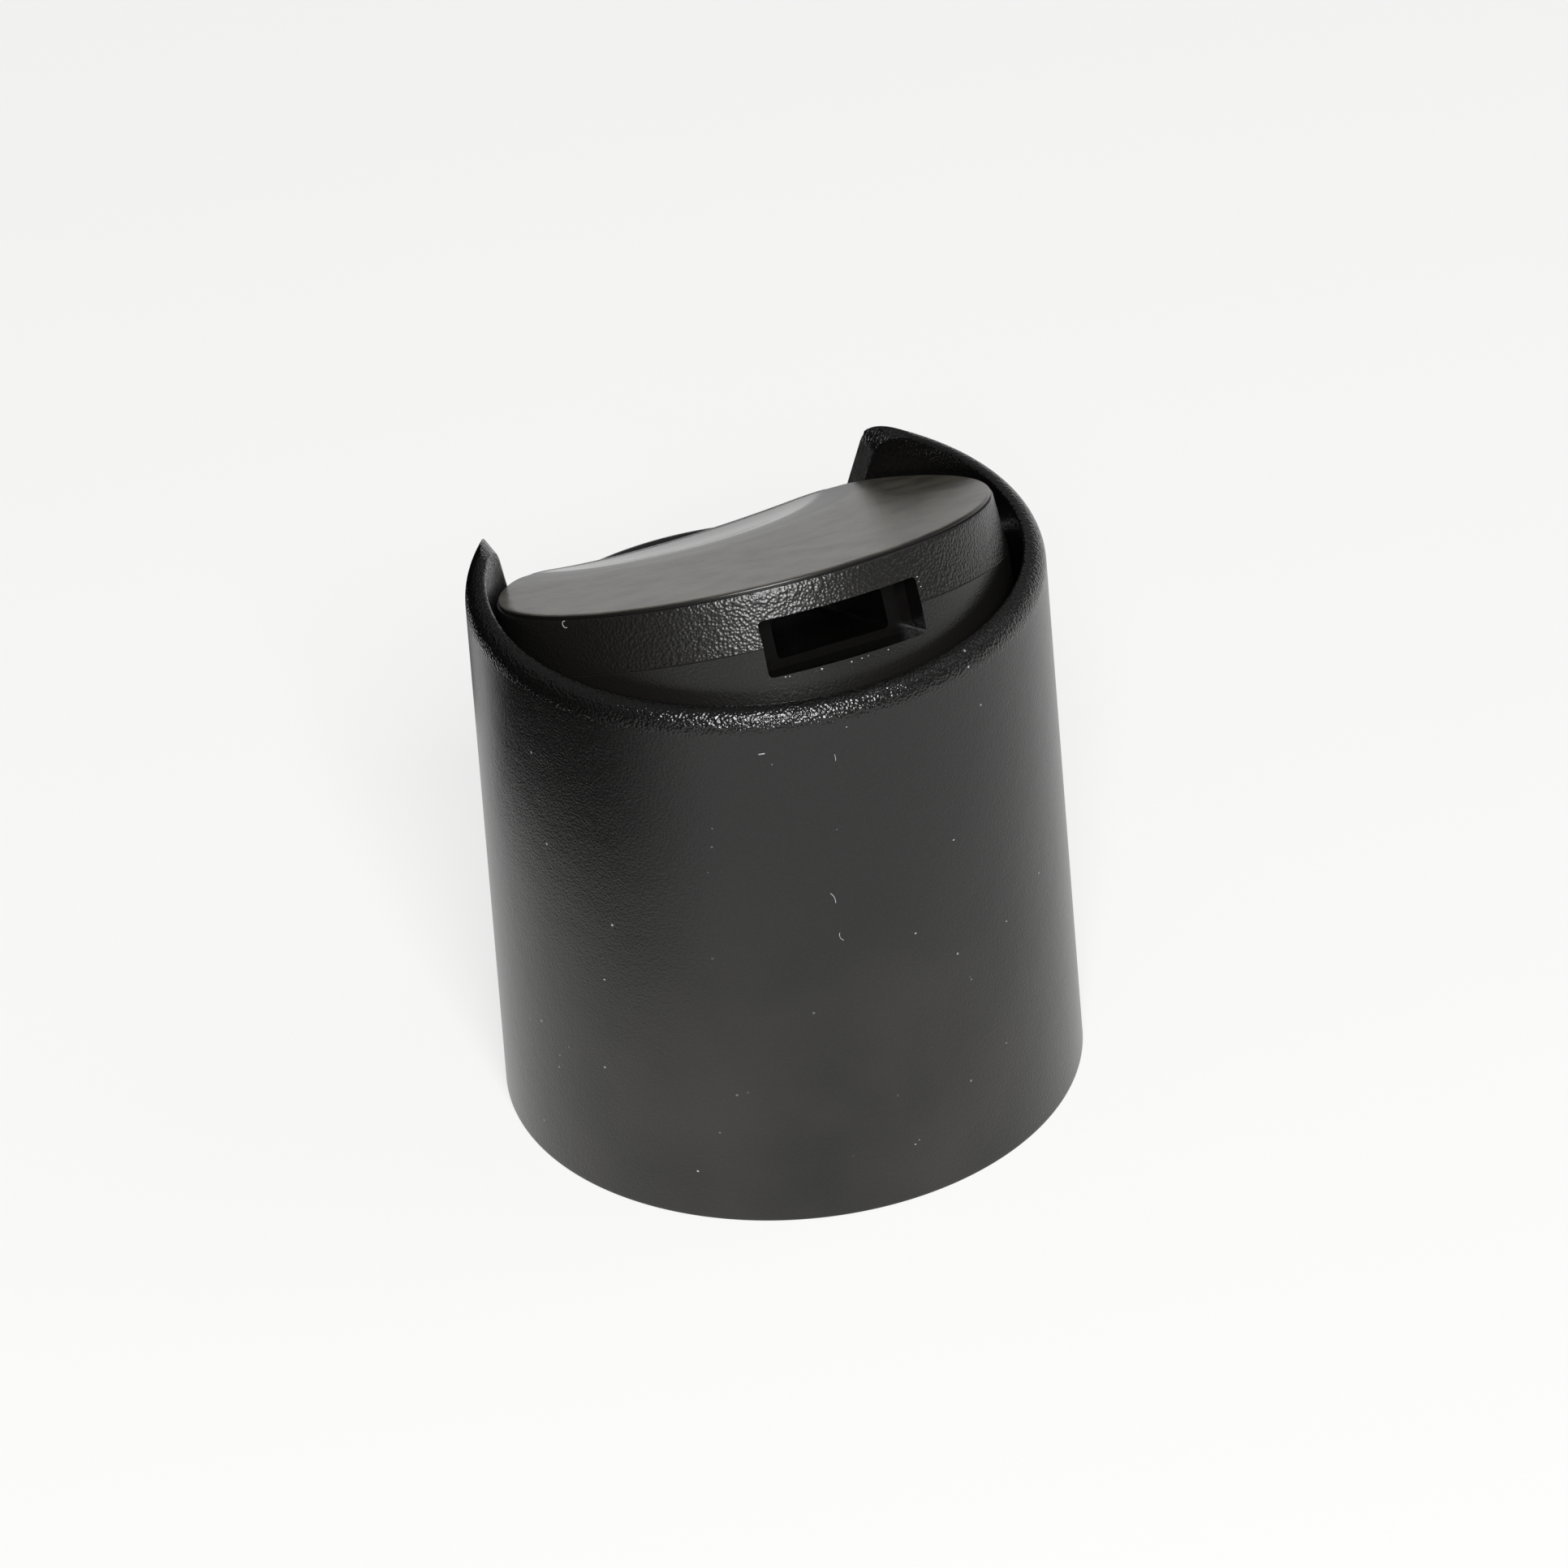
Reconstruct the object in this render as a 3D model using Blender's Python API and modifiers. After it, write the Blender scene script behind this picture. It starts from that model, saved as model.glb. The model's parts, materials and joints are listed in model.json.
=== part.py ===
"""Disc top cap for a 24 mm bottle neck: a smooth cap body and the disc that rocks in it.

Metres, +Z up. The skirt's rim stands on z = 0 on the cap's own axis, the orifice faces -Y and the
thumb notch +Y. The disc is shown open, with its front raised.
"""

import math

import bmesh
import bpy
from mathutils import Matrix

MM = 0.001

# Skirt and neck
THREAD_DIAMETER = 24.1 * MM
SKIRT_WALL = 1.75 * MM
SKIRT_DRAFT = math.radians(0.8)
CAP_HEIGHT = 27.7 * MM
BASE_ROUND = 0.12 * MM
LEAD_IN_DEPTH = 0.45 * MM
LEAD_IN_HEIGHT = 1.6 * MM
DECK_THICKNESS = 1.2 * MM
DECK_FILLET = 0.6 * MM

# Neck thread
THREAD_PITCH = 3.175 * MM
THREAD_TURNS = 1.5
THREAD_START = 4.2 * MM
THREAD_RIDGE = 1.0 * MM
THREAD_ROOT_WIDTH = 1.9 * MM
THREAD_CREST_WIDTH = 0.8 * MM
THREAD_FADE_SHARE = 0.08
THREAD_TIP_SHARE = 0.08

# Plug ring under the deck, which enters the bottle's bore
PLUG_DIAMETER = 17.8 * MM
PLUG_WALL = 0.8 * MM
PLUG_DEPTH = 2.2 * MM
PLUG_TAPER = 0.3 * MM

# Rim and chamber round the disc
RIM_WALL = 1.02 * MM
RIM_ROUND = 0.85 * MM
RIM_EDGE = 0.15 * MM

# Thumb notch in the rear wall
NOTCH_WIDTH = 19.7 * MM
NOTCH_DEPTH = 6.03 * MM
NOTCH_LEAN = math.radians(13.0)
NOTCH_CORNER = 1.2 * MM
EAR_ROUND = 1.2 * MM
EAR_RUN_OUT = 0.05 * MM

# Disc
OPEN_TILT = math.radians(22.8)
DISC_GAP = 0.5 * MM
DISC_RECESS = 0.1 * MM
DISC_DRAFT = math.radians(3.8)
DISC_SKIRT = 5.87 * MM
DISC_PLATE = 1.3 * MM
DISC_WALL = 1.1 * MM
DISC_EDGE = 0.15 * MM
DISC_FILLET = 0.5 * MM

# Thumb scoop, a shallow dish centred on the disc's rear edge
SCOOP_RADIUS = 8.9 * MM
SCOOP_DEPTH = 1.05 * MM

# Pivot, on the mould's parting line
PIVOT_DEPTH = 2.8 * MM
PIVOT_SETBACK = 1.2 * MM
PIN_DIAMETER = 2.2 * MM
PIN_REACH = 0.45 * MM
PIN_CHAMFER = 0.15 * MM
PIN_END_CLEARANCE = 0.2 * MM

# Orifice and spout duct
ORIFICE_WIDTH = 7.8 * MM
ORIFICE_HEIGHT = 2.65 * MM
ORIFICE_DROP = 1.55 * MM
MOUTH_DEPTH = 2.4 * MM
DUCT_WIDTH = 5.5 * MM
DUCT_HEIGHT = 1.85 * MM
DUCT_WALL = 0.9 * MM

# Valve: a drum on the disc turns over a curved seat on the deck
DRUM_RADIUS = 5.6 * MM
BORE_ANGLE = math.radians(27.0)
PORT_WIDTH = 4.6 * MM
PORT_LENGTH = 1.66 * MM
COLLAR_WALL = 0.8 * MM

CLEARANCE = 0.3 * MM
OVERLAP = 0.2 * MM
PAST = 2.0 * MM

# How much wider than its own rim the scoop's cutter is, so that it leaves through the plate's top
DISH_SPREAD = 1.1

# Steps of the round shapes
TURN_STEPS = 96
SCOOP_STEPS = 64
DRUM_STEPS = 72
PIN_STEPS = 24
ROUND_STEPS = 5
FILLET_STEPS = 3
SCOOP_RINGS = 9

# A shape that crosses a turned wall is turned by half a step, so that no edge of it lies on an edge of the wall
HALF_STEP = math.pi / TURN_STEPS

# Sizes that follow from those above
THREAD_RADIUS = THREAD_DIAMETER / 2
BASE_RADIUS = THREAD_RADIUS + SKIRT_WALL
TOP_RADIUS = BASE_RADIUS - CAP_HEIGHT * math.tan(SKIRT_DRAFT)
CHAMBER_RADIUS = TOP_RADIUS - RIM_WALL
DISC_RADIUS = CHAMBER_RADIUS - DISC_GAP
DISC_TOP_RADIUS = DISC_RADIUS - PIVOT_DEPTH * math.tan(DISC_DRAFT)
DISC_BASE_RADIUS = DISC_RADIUS - (DISC_SKIRT - PIVOT_DEPTH) * math.tan(DISC_DRAFT)
PIVOT_HEIGHT = CAP_HEIGHT - DISC_RECESS - PIVOT_DEPTH
SEAT_RADIUS = DRUM_RADIUS + CLEARANCE

# The open disc's rear skirt stops just above the deck
REAR_REACH = DISC_BASE_RADIUS - PIVOT_SETBACK
REAR_DROP = REAR_REACH * math.sin(OPEN_TILT) + (DISC_SKIRT - PIVOT_DEPTH) * math.cos(OPEN_TILT)
DECK_TOP = PIVOT_HEIGHT - REAR_DROP - CLEARANCE
DECK_BOTTOM = DECK_TOP - DECK_THICKNESS

# The port in the drum meets the bore in the deck when the disc is open
BORE_Y = PIVOT_SETBACK - SEAT_RADIUS * math.sin(BORE_ANGLE)
PORT_Y = PIVOT_SETBACK - DRUM_RADIUS * math.sin(BORE_ANGLE - OPEN_TILT)


def clear_scene():
    """Removes the objects of the open scene."""
    for obj in list(bpy.data.objects):
        bpy.data.objects.remove(obj, do_unlink=True)


def new_collection(name):
    """A collection linked to the scene."""
    collection = bpy.data.collections.new(name)
    bpy.context.scene.collection.children.link(collection)
    return collection


def add_object(name, mesh, collection):
    """An object for this mesh, in this collection."""
    obj = bpy.data.objects.new(name, mesh)
    collection.objects.link(obj)
    return obj


def as_tool(obj, parent=None):
    """Marks a shape that only cuts, joins or trims another, in its parent's frame."""
    obj.hide_render = True
    obj.display_type = "WIRE"
    obj.parent = parent
    return obj


def combine(target, tool, operation):
    """Adds a Boolean of this tool to the target."""
    modifier = target.modifiers.new(f"{operation.lower()} {tool.name}", "BOOLEAN")
    modifier.object = tool
    modifier.operation = operation
    modifier.solver = "EXACT"


def arc(centre, radius, start, end, steps):
    """Points along an arc, with its angles in degrees from the first axis towards the second."""
    points = []
    for step in range(steps + 1):
        angle = math.radians(start + (end - start) * step / steps)
        points.append((centre[0] + radius * math.cos(angle), centre[1] + radius * math.sin(angle)))
    return points


def turned(name, profile, steps, collection):
    """A profile of (radius, height) points turned all the way round the object's Z axis."""
    mesh = bpy.data.meshes.new(name)
    edges = [(i, i + 1) for i in range(len(profile) - 1)]
    mesh.from_pydata([(radius, 0, height) for radius, height in profile], edges, [])
    obj = add_object(name, mesh, collection)
    screw = obj.modifiers.new("turn", "SCREW")
    screw.axis = "Z"
    screw.angle = math.tau
    screw.steps = steps
    screw.render_steps = steps
    screw.use_merge_vertices = True
    screw.merge_threshold = 0.001 * MM
    screw.use_smooth_shade = True
    return obj


def box(name, low, high, collection):
    """A block between two corners."""
    bm = bmesh.new()
    middle = [(a + b) / 2 for a, b in zip(low, high)]
    size = [b - a for a, b in zip(low, high)]
    place = Matrix.Translation(middle) @ Matrix.Diagonal((*size, 1))
    bmesh.ops.create_cube(bm, size=1, matrix=place)
    mesh = bpy.data.meshes.new(name)
    bm.to_mesh(mesh)
    bm.free()
    return add_object(name, mesh, collection)


def rod(name, radius, half_length, centre, steps, collection):
    """A cylinder along X through a point."""
    bm = bmesh.new()
    place = Matrix.Translation(centre) @ Matrix.Rotation(math.pi / 2, 4, "Y")
    bmesh.ops.create_cone(
        bm, cap_ends=True, segments=steps, radius1=radius, radius2=radius, depth=2 * half_length, matrix=place
    )
    mesh = bpy.data.meshes.new(name)
    bm.to_mesh(mesh)
    bm.free()
    return add_object(name, mesh, collection)


def upright(name, radius, low, high, centre_y, steps, collection):
    """A cylinder along Z between two heights."""
    bm = bmesh.new()
    place = Matrix.Translation((0, centre_y, (low + high) / 2))
    bmesh.ops.create_cone(
        bm, cap_ends=True, segments=steps, radius1=radius, radius2=radius, depth=high - low, matrix=place
    )
    mesh = bpy.data.meshes.new(name)
    bm.to_mesh(mesh)
    bm.free()
    return add_object(name, mesh, collection)


def slab(name, outline, thickness, place, collection):
    """A flat outline given thickness both ways from its plane, as a closed mesh."""
    curve = bpy.data.curves.new(name, "CURVE")
    curve.dimensions = "2D"
    curve.fill_mode = "BOTH"
    curve.extrude = thickness / 2
    spline = curve.splines.new("POLY")
    spline.points.add(len(outline) - 1)
    for point, (x, y) in zip(spline.points, outline):
        point.co = (x, y, 0, 1)
    spline.use_cyclic_u = True
    drawn = add_object(f"{name} outline", curve, collection)
    drawn.matrix_world = place
    bpy.context.view_layer.update()
    graph = bpy.context.evaluated_depsgraph_get()
    mesh = bpy.data.meshes.new_from_object(drawn.evaluated_get(graph))
    bpy.data.objects.remove(drawn, do_unlink=True)
    bm = bmesh.new()
    bm.from_mesh(mesh)
    bmesh.ops.remove_doubles(bm, verts=bm.verts, dist=0.001 * MM)
    bmesh.ops.recalc_face_normals(bm, faces=bm.faces)
    bm.to_mesh(mesh)
    bm.free()
    obj = add_object(name, mesh, collection)
    obj.matrix_world = place
    return obj


def stadium(width, length):
    """Outline of a slot with round ends, its width along X."""
    radius = length / 2
    straight = width / 2 - radius
    right = arc((straight, 0), radius, -90, 90, 2 * ROUND_STEPS)
    left = arc((-straight, 0), radius, 90, 270, 2 * ROUND_STEPS)
    return right + left


def material(name, colour, roughness):
    """A Principled surface of one moulded plastic."""
    surface = bpy.data.materials.new(name)
    surface.use_nodes = True
    shader = surface.node_tree.nodes["Principled BSDF"]
    shader.inputs["Base Color"].default_value = (*colour, 1)
    shader.inputs["Roughness"].default_value = roughness
    shader.inputs["Metallic"].default_value = 0.0
    return surface


def body_profile():
    """Section of the cap body, from the middle of the deck's top round to the middle of its underside."""
    plug_radius = PLUG_DIAMETER / 2
    lead_in_radius = THREAD_RADIUS + LEAD_IN_DEPTH
    fillet_centre = (CHAMBER_RADIUS - DECK_FILLET, DECK_TOP + DECK_FILLET)
    edge_centre = (CHAMBER_RADIUS + RIM_EDGE, CAP_HEIGHT - RIM_EDGE)
    rim_centre = (TOP_RADIUS - RIM_ROUND, CAP_HEIGHT - RIM_ROUND)
    base_centre = (BASE_RADIUS - BASE_ROUND, BASE_ROUND)
    profile = [(0, DECK_TOP)]
    profile += arc(fillet_centre, DECK_FILLET, -90, 0, FILLET_STEPS)
    profile += arc(edge_centre, RIM_EDGE, 180, 90, FILLET_STEPS)
    profile += arc(rim_centre, RIM_ROUND, 90, 0, ROUND_STEPS)
    profile += arc(base_centre, BASE_ROUND, 0, -90, FILLET_STEPS)
    profile += [(lead_in_radius, 0)]
    profile += [(lead_in_radius, LEAD_IN_HEIGHT)]
    profile += [(THREAD_RADIUS, LEAD_IN_HEIGHT + LEAD_IN_DEPTH)]
    profile += [(THREAD_RADIUS, DECK_BOTTOM)]
    profile += [(plug_radius, DECK_BOTTOM)]
    profile += [(plug_radius - PLUG_TAPER, DECK_BOTTOM - PLUG_DEPTH)]
    profile += [(plug_radius - PLUG_WALL, DECK_BOTTOM - PLUG_DEPTH)]
    profile += [(plug_radius - PLUG_WALL, DECK_BOTTOM)]
    profile += [(0, DECK_BOTTOM)]
    return profile


def notch_outline():
    """Outline of the thumb notch seen from the rear, widening upwards, with the ears' tips rounded off."""
    top = CAP_HEIGHT
    floor = CAP_HEIGHT - NOTCH_DEPTH
    lean = math.degrees(NOTCH_LEAN)
    slope = math.tan(NOTCH_LEAN)

    def side(height):
        return NOTCH_WIDTH / 2 - (top - height) * slope

    corner_height = floor + NOTCH_CORNER
    corner_x = side(corner_height) - NOTCH_CORNER / math.cos(NOTCH_LEAN)
    ear_height = top - EAR_ROUND + EAR_RUN_OUT
    ear_x = side(ear_height) + EAR_ROUND / math.cos(NOTCH_LEAN)
    right = arc((corner_x, corner_height), NOTCH_CORNER, -90, -lean, FILLET_STEPS)
    right += arc((ear_x, ear_height), EAR_ROUND, 180 - lean, 90, ROUND_STEPS)
    right += [(ear_x, top + PAST)]
    left = [(-x, height) for x, height in reversed(right)]
    return right + left


def thread_ridge(name, collection):
    """The neck thread: a trapezoid swept up a helix inside the skirt, fading out at both ends."""
    root = THREAD_RADIUS + OVERLAP
    crest = THREAD_RADIUS - THREAD_RIDGE
    section = (
        (root, -THREAD_ROOT_WIDTH / 2),
        (crest, -THREAD_CREST_WIDTH / 2),
        (crest, THREAD_CREST_WIDTH / 2),
        (root, THREAD_ROOT_WIDTH / 2),
    )
    steps = round(TURN_STEPS * THREAD_TURNS / 2)
    rise = THREAD_PITCH * THREAD_TURNS / steps
    bm = bmesh.new()
    corners = [bm.verts.new((radius, 0, THREAD_START + height)) for radius, height in section]
    first = bm.faces.new(corners)
    bmesh.ops.spin(
        bm,
        geom=[first, *first.edges, *first.verts],
        axis=(0, 0, 1),
        cent=(0, 0, 0),
        dvec=(0, 0, rise),
        angle=math.tau * THREAD_TURNS,
        steps=steps,
        use_merge=False,
        use_duplicate=False,
    )
    bmesh.ops.holes_fill(bm, edges=[edge for edge in bm.edges if edge.is_boundary], sides=len(section))
    length = THREAD_PITCH * THREAD_TURNS
    for vert in bm.verts:
        radius = math.hypot(vert.co.x, vert.co.y)
        if radius > THREAD_RADIUS:
            continue
        along = (vert.co.z - THREAD_START) / length
        full = min(along, 1 - along) / THREAD_FADE_SHARE
        eased = THREAD_RADIUS - THREAD_RIDGE * min(1.0, max(THREAD_TIP_SHARE, full))
        vert.co.x *= eased / radius
        vert.co.y *= eased / radius
    bmesh.ops.recalc_face_normals(bm, faces=bm.faces)
    mesh = bpy.data.meshes.new(name)
    bm.to_mesh(mesh)
    bm.free()
    return add_object(name, mesh, collection)


def build_body(parts, tools):
    """The cap body: skirt, deck, rim, thumb notch, outlet collar, pivot sockets and neck thread."""
    body = turned("cap_body", body_profile(), TURN_STEPS, parts)

    across = Matrix.Translation((0, BASE_RADIUS, 0)) @ Matrix.Rotation(math.pi / 2, 4, "X")
    notch = slab("thumb notch", notch_outline(), 2 * BASE_RADIUS, across, tools)
    combine(body, as_tool(notch), "DIFFERENCE")

    thread = as_tool(thread_ridge("neck thread", tools))
    thread.rotation_euler.z = HALF_STEP
    combine(body, thread, "UNION")

    collar_size = (PORT_WIDTH + 2 * COLLAR_WALL, PORT_LENGTH + 2 * COLLAR_WALL)
    collar_low = DECK_TOP - DECK_THICKNESS / 2
    collar_high = PIVOT_HEIGHT
    upright_at = Matrix.Translation((0, BORE_Y, (collar_low + collar_high) / 2))
    collar = slab("outlet collar", stadium(*collar_size), collar_high - collar_low, upright_at, tools)
    pivot = (0, PIVOT_SETBACK, PIVOT_HEIGHT)
    seat = rod("valve seat", SEAT_RADIUS, BASE_RADIUS, pivot, DRUM_STEPS, tools)
    combine(collar, as_tool(seat), "DIFFERENCE")
    combine(body, as_tool(collar), "UNION")

    bore_at = Matrix.Translation((0, BORE_Y, DECK_TOP))
    bore = slab("outlet bore", stadium(PORT_WIDTH, PORT_LENGTH), 2 * DRUM_RADIUS, bore_at, tools)
    combine(body, as_tool(bore), "DIFFERENCE")

    socket_radius = PIN_DIAMETER / 2 + CLEARANCE
    socket_reach = pin_end() + PIN_END_CLEARANCE
    sockets = rod("pivot sockets", socket_radius, socket_reach, pivot, PIN_STEPS, tools)
    combine(body, as_tool(sockets), "DIFFERENCE")
    return body


def pin_end():
    """How far from the middle a pivot pin's end lies."""
    wall_at_pivot = math.sqrt(CHAMBER_RADIUS**2 - PIVOT_SETBACK**2)
    return wall_at_pivot + PIN_REACH


def disc_profile():
    """Section of the disc's shell in its own frame, where z = 0 is the flat top."""
    inner_base = DISC_BASE_RADIUS - DISC_WALL
    inner_top = DISC_TOP_RADIUS - DISC_WALL
    fillet_centre = (inner_top - DISC_FILLET, -DISC_PLATE - DISC_FILLET)
    profile = [(0, 0)]
    profile += [(DISC_TOP_RADIUS - DISC_EDGE, 0)]
    profile += [(DISC_TOP_RADIUS, -DISC_EDGE)]
    profile += [(DISC_RADIUS, -PIVOT_DEPTH)]
    profile += [(DISC_BASE_RADIUS, -DISC_SKIRT)]
    profile += [(inner_base, -DISC_SKIRT)]
    profile += arc(fillet_centre, DISC_FILLET, 0, 90, FILLET_STEPS)
    profile += [(0, -DISC_PLATE)]
    return profile


def dish_profile(drop):
    """Section of a lens whose underside is the scoop's sphere, moved down its radius by this drop."""
    sphere_radius = (SCOOP_RADIUS**2 + SCOOP_DEPTH**2) / (2 * SCOOP_DEPTH)
    centre_height = sphere_radius - SCOOP_DEPTH
    radius = sphere_radius + drop
    half_angle = math.degrees(math.asin(SCOOP_RADIUS / sphere_radius)) * DISH_SPREAD
    ring = arc((0, centre_height), radius, half_angle - 90, -90, SCOOP_RINGS)
    edge_radius = ring[0][0]
    ring[-1] = (0, ring[-1][1])
    return edge_radius, ring


def scoop_dish(name, tools):
    """The dish that the thumb scoop leaves, as a solid that stands above it."""
    edge_radius, ring = dish_profile(0)
    return turned(name, [(0, PAST), (edge_radius, PAST), *ring], SCOOP_STEPS, tools)


def scoop_backing(name, tools):
    """The plate's thickness carried down below the scoop."""
    edge_radius, ring = dish_profile(DISC_PLATE)
    middle = -DISC_PLATE / 2
    lower = [point for point in ring if point[1] < middle - OVERLAP]
    return turned(name, [(0, middle), (edge_radius, middle), *lower], SCOOP_STEPS, tools)


def spout_block(disc, tools):
    """The duct's outside with the valve drum below it, trimmed to end inside the disc's skirt."""
    plate_middle = -DISC_PLATE / 2
    duct_middle = -ORIFICE_DROP - ORIFICE_HEIGHT / 2
    mouth_half = ORIFICE_WIDTH / 2 + DUCT_WALL
    duct_half = DUCT_WIDTH / 2 + DUCT_WALL
    mouth_low = -ORIFICE_DROP - ORIFICE_HEIGHT - DUCT_WALL
    duct_low = duct_middle - DUCT_HEIGHT / 2 - DUCT_WALL
    mouth_end = -DISC_RADIUS + MOUTH_DEPTH + DUCT_WALL
    drum_front = BORE_Y - PORT_LENGTH / 2 - COLLAR_WALL
    drum_rear = PORT_Y + PORT_LENGTH / 2 + DUCT_WALL

    block = box("mouth block", (-mouth_half, -DISC_RADIUS, mouth_low), (mouth_half, mouth_end, plate_middle), tools)
    duct = box(
        "duct block", (-duct_half, mouth_end - OVERLAP, duct_low), (duct_half, drum_rear, plate_middle), tools
    )
    drum = box(
        "valve drum",
        (-duct_half, drum_front, -PIVOT_DEPTH - DRUM_RADIUS - OVERLAP),
        (duct_half, drum_rear, plate_middle),
        tools,
    )
    drum_centre = (0, PIVOT_SETBACK, -PIVOT_DEPTH)
    drum_round = rod("drum round", DRUM_RADIUS, BASE_RADIUS, drum_centre, DRUM_STEPS, tools)
    skirt_middle = DISC_BASE_RADIUS - DISC_WALL / 2
    trim = upright("spout trim", skirt_middle, -CAP_HEIGHT, CAP_HEIGHT, 0, TURN_STEPS, tools)
    combine(drum, as_tool(drum_round, disc), "INTERSECT")
    combine(block, as_tool(duct, disc), "UNION")
    combine(block, as_tool(drum, disc), "UNION")
    combine(block, as_tool(trim, disc), "INTERSECT")
    return as_tool(block, disc)


def cut_spout(disc, tools):
    """Cuts the orifice's mouth, the duct behind it and the port that turns down through the drum."""
    duct_middle = -ORIFICE_DROP - ORIFICE_HEIGHT / 2
    mouth_rear = -DISC_RADIUS + MOUTH_DEPTH
    duct_top = duct_middle + DUCT_HEIGHT / 2
    duct_bottom = duct_middle - DUCT_HEIGHT / 2
    mouth = box(
        "orifice",
        (-ORIFICE_WIDTH / 2, -DISC_RADIUS - PAST, -ORIFICE_DROP - ORIFICE_HEIGHT),
        (ORIFICE_WIDTH / 2, mouth_rear, -ORIFICE_DROP),
        tools,
    )
    duct = box(
        "duct",
        (-DUCT_WIDTH / 2, mouth_rear - OVERLAP, duct_bottom),
        (DUCT_WIDTH / 2, PORT_Y + PORT_LENGTH / 2, duct_top),
        tools,
    )
    port_low = -PIVOT_DEPTH - DRUM_RADIUS - PAST
    port_high = duct_bottom + OVERLAP
    place = Matrix.Translation((0, PORT_Y, (port_low + port_high) / 2))
    port = slab("valve port", stadium(PORT_WIDTH, PORT_LENGTH), port_high - port_low, place, tools)
    for tool in (mouth, duct, port):
        combine(disc, as_tool(tool, disc), "DIFFERENCE")


def build_disc(parts, tools):
    """The pivoting disc, hung on an empty that lies on its pivot axis and is tilted open."""
    hinge = bpy.data.objects.new("disc_pivot", None)
    parts.objects.link(hinge)
    hinge.location = (0, PIVOT_SETBACK, PIVOT_HEIGHT)
    hinge.rotation_euler = (-OPEN_TILT, 0, 0)

    disc = turned("pivoting_disc", disc_profile(), TURN_STEPS, parts)
    disc.parent = hinge
    disc.location = (0, -PIVOT_SETBACK, PIVOT_DEPTH)

    skirt_middle = DISC_BASE_RADIUS - DISC_WALL / 2
    backing = scoop_backing("scoop backing", tools)
    backing.location = (0, DISC_TOP_RADIUS, 0)
    inside = upright("backing trim", skirt_middle, -DISC_SKIRT, CAP_HEIGHT, 0, TURN_STEPS, tools)
    combine(backing, as_tool(inside, disc), "INTERSECT")
    combine(disc, as_tool(backing, disc), "UNION")
    combine(disc, spout_block(disc, tools), "UNION")

    dish = scoop_dish("thumb scoop", tools)
    dish.location = (0, DISC_TOP_RADIUS, 0)
    combine(disc, as_tool(dish, disc), "DIFFERENCE")
    cut_spout(disc, tools)

    wall_middle = DISC_RADIUS - DISC_WALL / 2
    pin_length = pin_end() - wall_middle
    for side, label in ((1, "right"), (-1, "left")):
        centre = (side * (wall_middle + pin_length / 2), PIVOT_SETBACK, -PIVOT_DEPTH)
        pin = rod(f"{label} pin", PIN_DIAMETER / 2, pin_length / 2, centre, PIN_STEPS, tools)
        chamfer = pin.modifiers.new("chamfer", "BEVEL")
        chamfer.width = PIN_CHAMFER
        chamfer.segments = 1
        chamfer.limit_method = "ANGLE"
        combine(disc, as_tool(pin, disc), "UNION")
    return disc


def main():
    clear_scene()
    parts = new_collection("disc top cap")
    tools = new_collection("cutters")
    body = build_body(parts, tools)
    disc = build_disc(parts, tools)
    body.data.materials.append(material("moulded black polypropylene", (0.012, 0.012, 0.012), 0.42))
    disc.data.materials.append(material("moulded black polypropylene, disc", (0.014, 0.014, 0.014), 0.38))


main()
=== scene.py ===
"""Disc top cap for a 24 mm bottle neck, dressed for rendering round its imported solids.

Metres, +Z up. The skirt stands on z = 0 on the cap's own axis, the orifice faces -Y and the thumb notch +Y.
Two mouldings are made here at a finer grain than their solids: the cap body and the pivoting disc.
"""

import json
import math
from types import SimpleNamespace

import bmesh
import bpy
from mathutils import Matrix, Vector


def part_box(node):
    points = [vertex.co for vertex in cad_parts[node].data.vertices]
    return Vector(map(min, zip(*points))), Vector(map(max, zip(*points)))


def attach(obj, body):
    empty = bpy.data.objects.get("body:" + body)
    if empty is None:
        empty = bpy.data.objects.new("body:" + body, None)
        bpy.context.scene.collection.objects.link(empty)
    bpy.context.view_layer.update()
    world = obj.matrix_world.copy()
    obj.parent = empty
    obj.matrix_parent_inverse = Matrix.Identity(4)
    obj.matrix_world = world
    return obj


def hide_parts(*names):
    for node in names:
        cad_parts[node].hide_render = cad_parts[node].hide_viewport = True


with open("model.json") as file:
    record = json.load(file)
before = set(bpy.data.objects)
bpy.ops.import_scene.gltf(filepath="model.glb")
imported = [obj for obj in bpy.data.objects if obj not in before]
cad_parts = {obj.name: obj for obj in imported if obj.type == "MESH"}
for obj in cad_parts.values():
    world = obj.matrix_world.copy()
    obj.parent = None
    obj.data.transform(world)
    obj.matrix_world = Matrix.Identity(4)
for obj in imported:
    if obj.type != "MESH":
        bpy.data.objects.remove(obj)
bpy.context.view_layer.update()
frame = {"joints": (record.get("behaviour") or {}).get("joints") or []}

bl_info = {
    "name": "Disc top cap",
    "version": (1, 0, 0),
    "blender": (4, 5, 0),
    "location": "3D View > Sidebar > Disc cap",
    "description": "Models the body and the pivoting disc of a moulded dispensing cap, with its studio",
    "category": "Add Mesh",
}

MM = 0.001
PIVOT = next(joint for joint in frame["joints"] if joint["name"] == "disc_tilt")

# Steps of the round shapes
TURN_STEPS = 288
SCOOP_STEPS = 192
DRUM_STEPS = 144
PIN_STEPS = 48
ROUND_STEPS = 14
EDGE_STEPS = 6
BROW_STEPS = 16
BEVEL_STEPS = 3

# Edges that turn by more than this are shown sharp
SHARP_ANGLE = math.radians(32)

# Edges that turn by more than this are rounded, at a pin's end and along the notch
PIN_END_ANGLE = math.radians(60)
NOTCH_EDGE_ANGLE = math.radians(30)

# A face whose normal leans less than this along an axis runs along it
LEAN_LIMIT = 0.02

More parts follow.
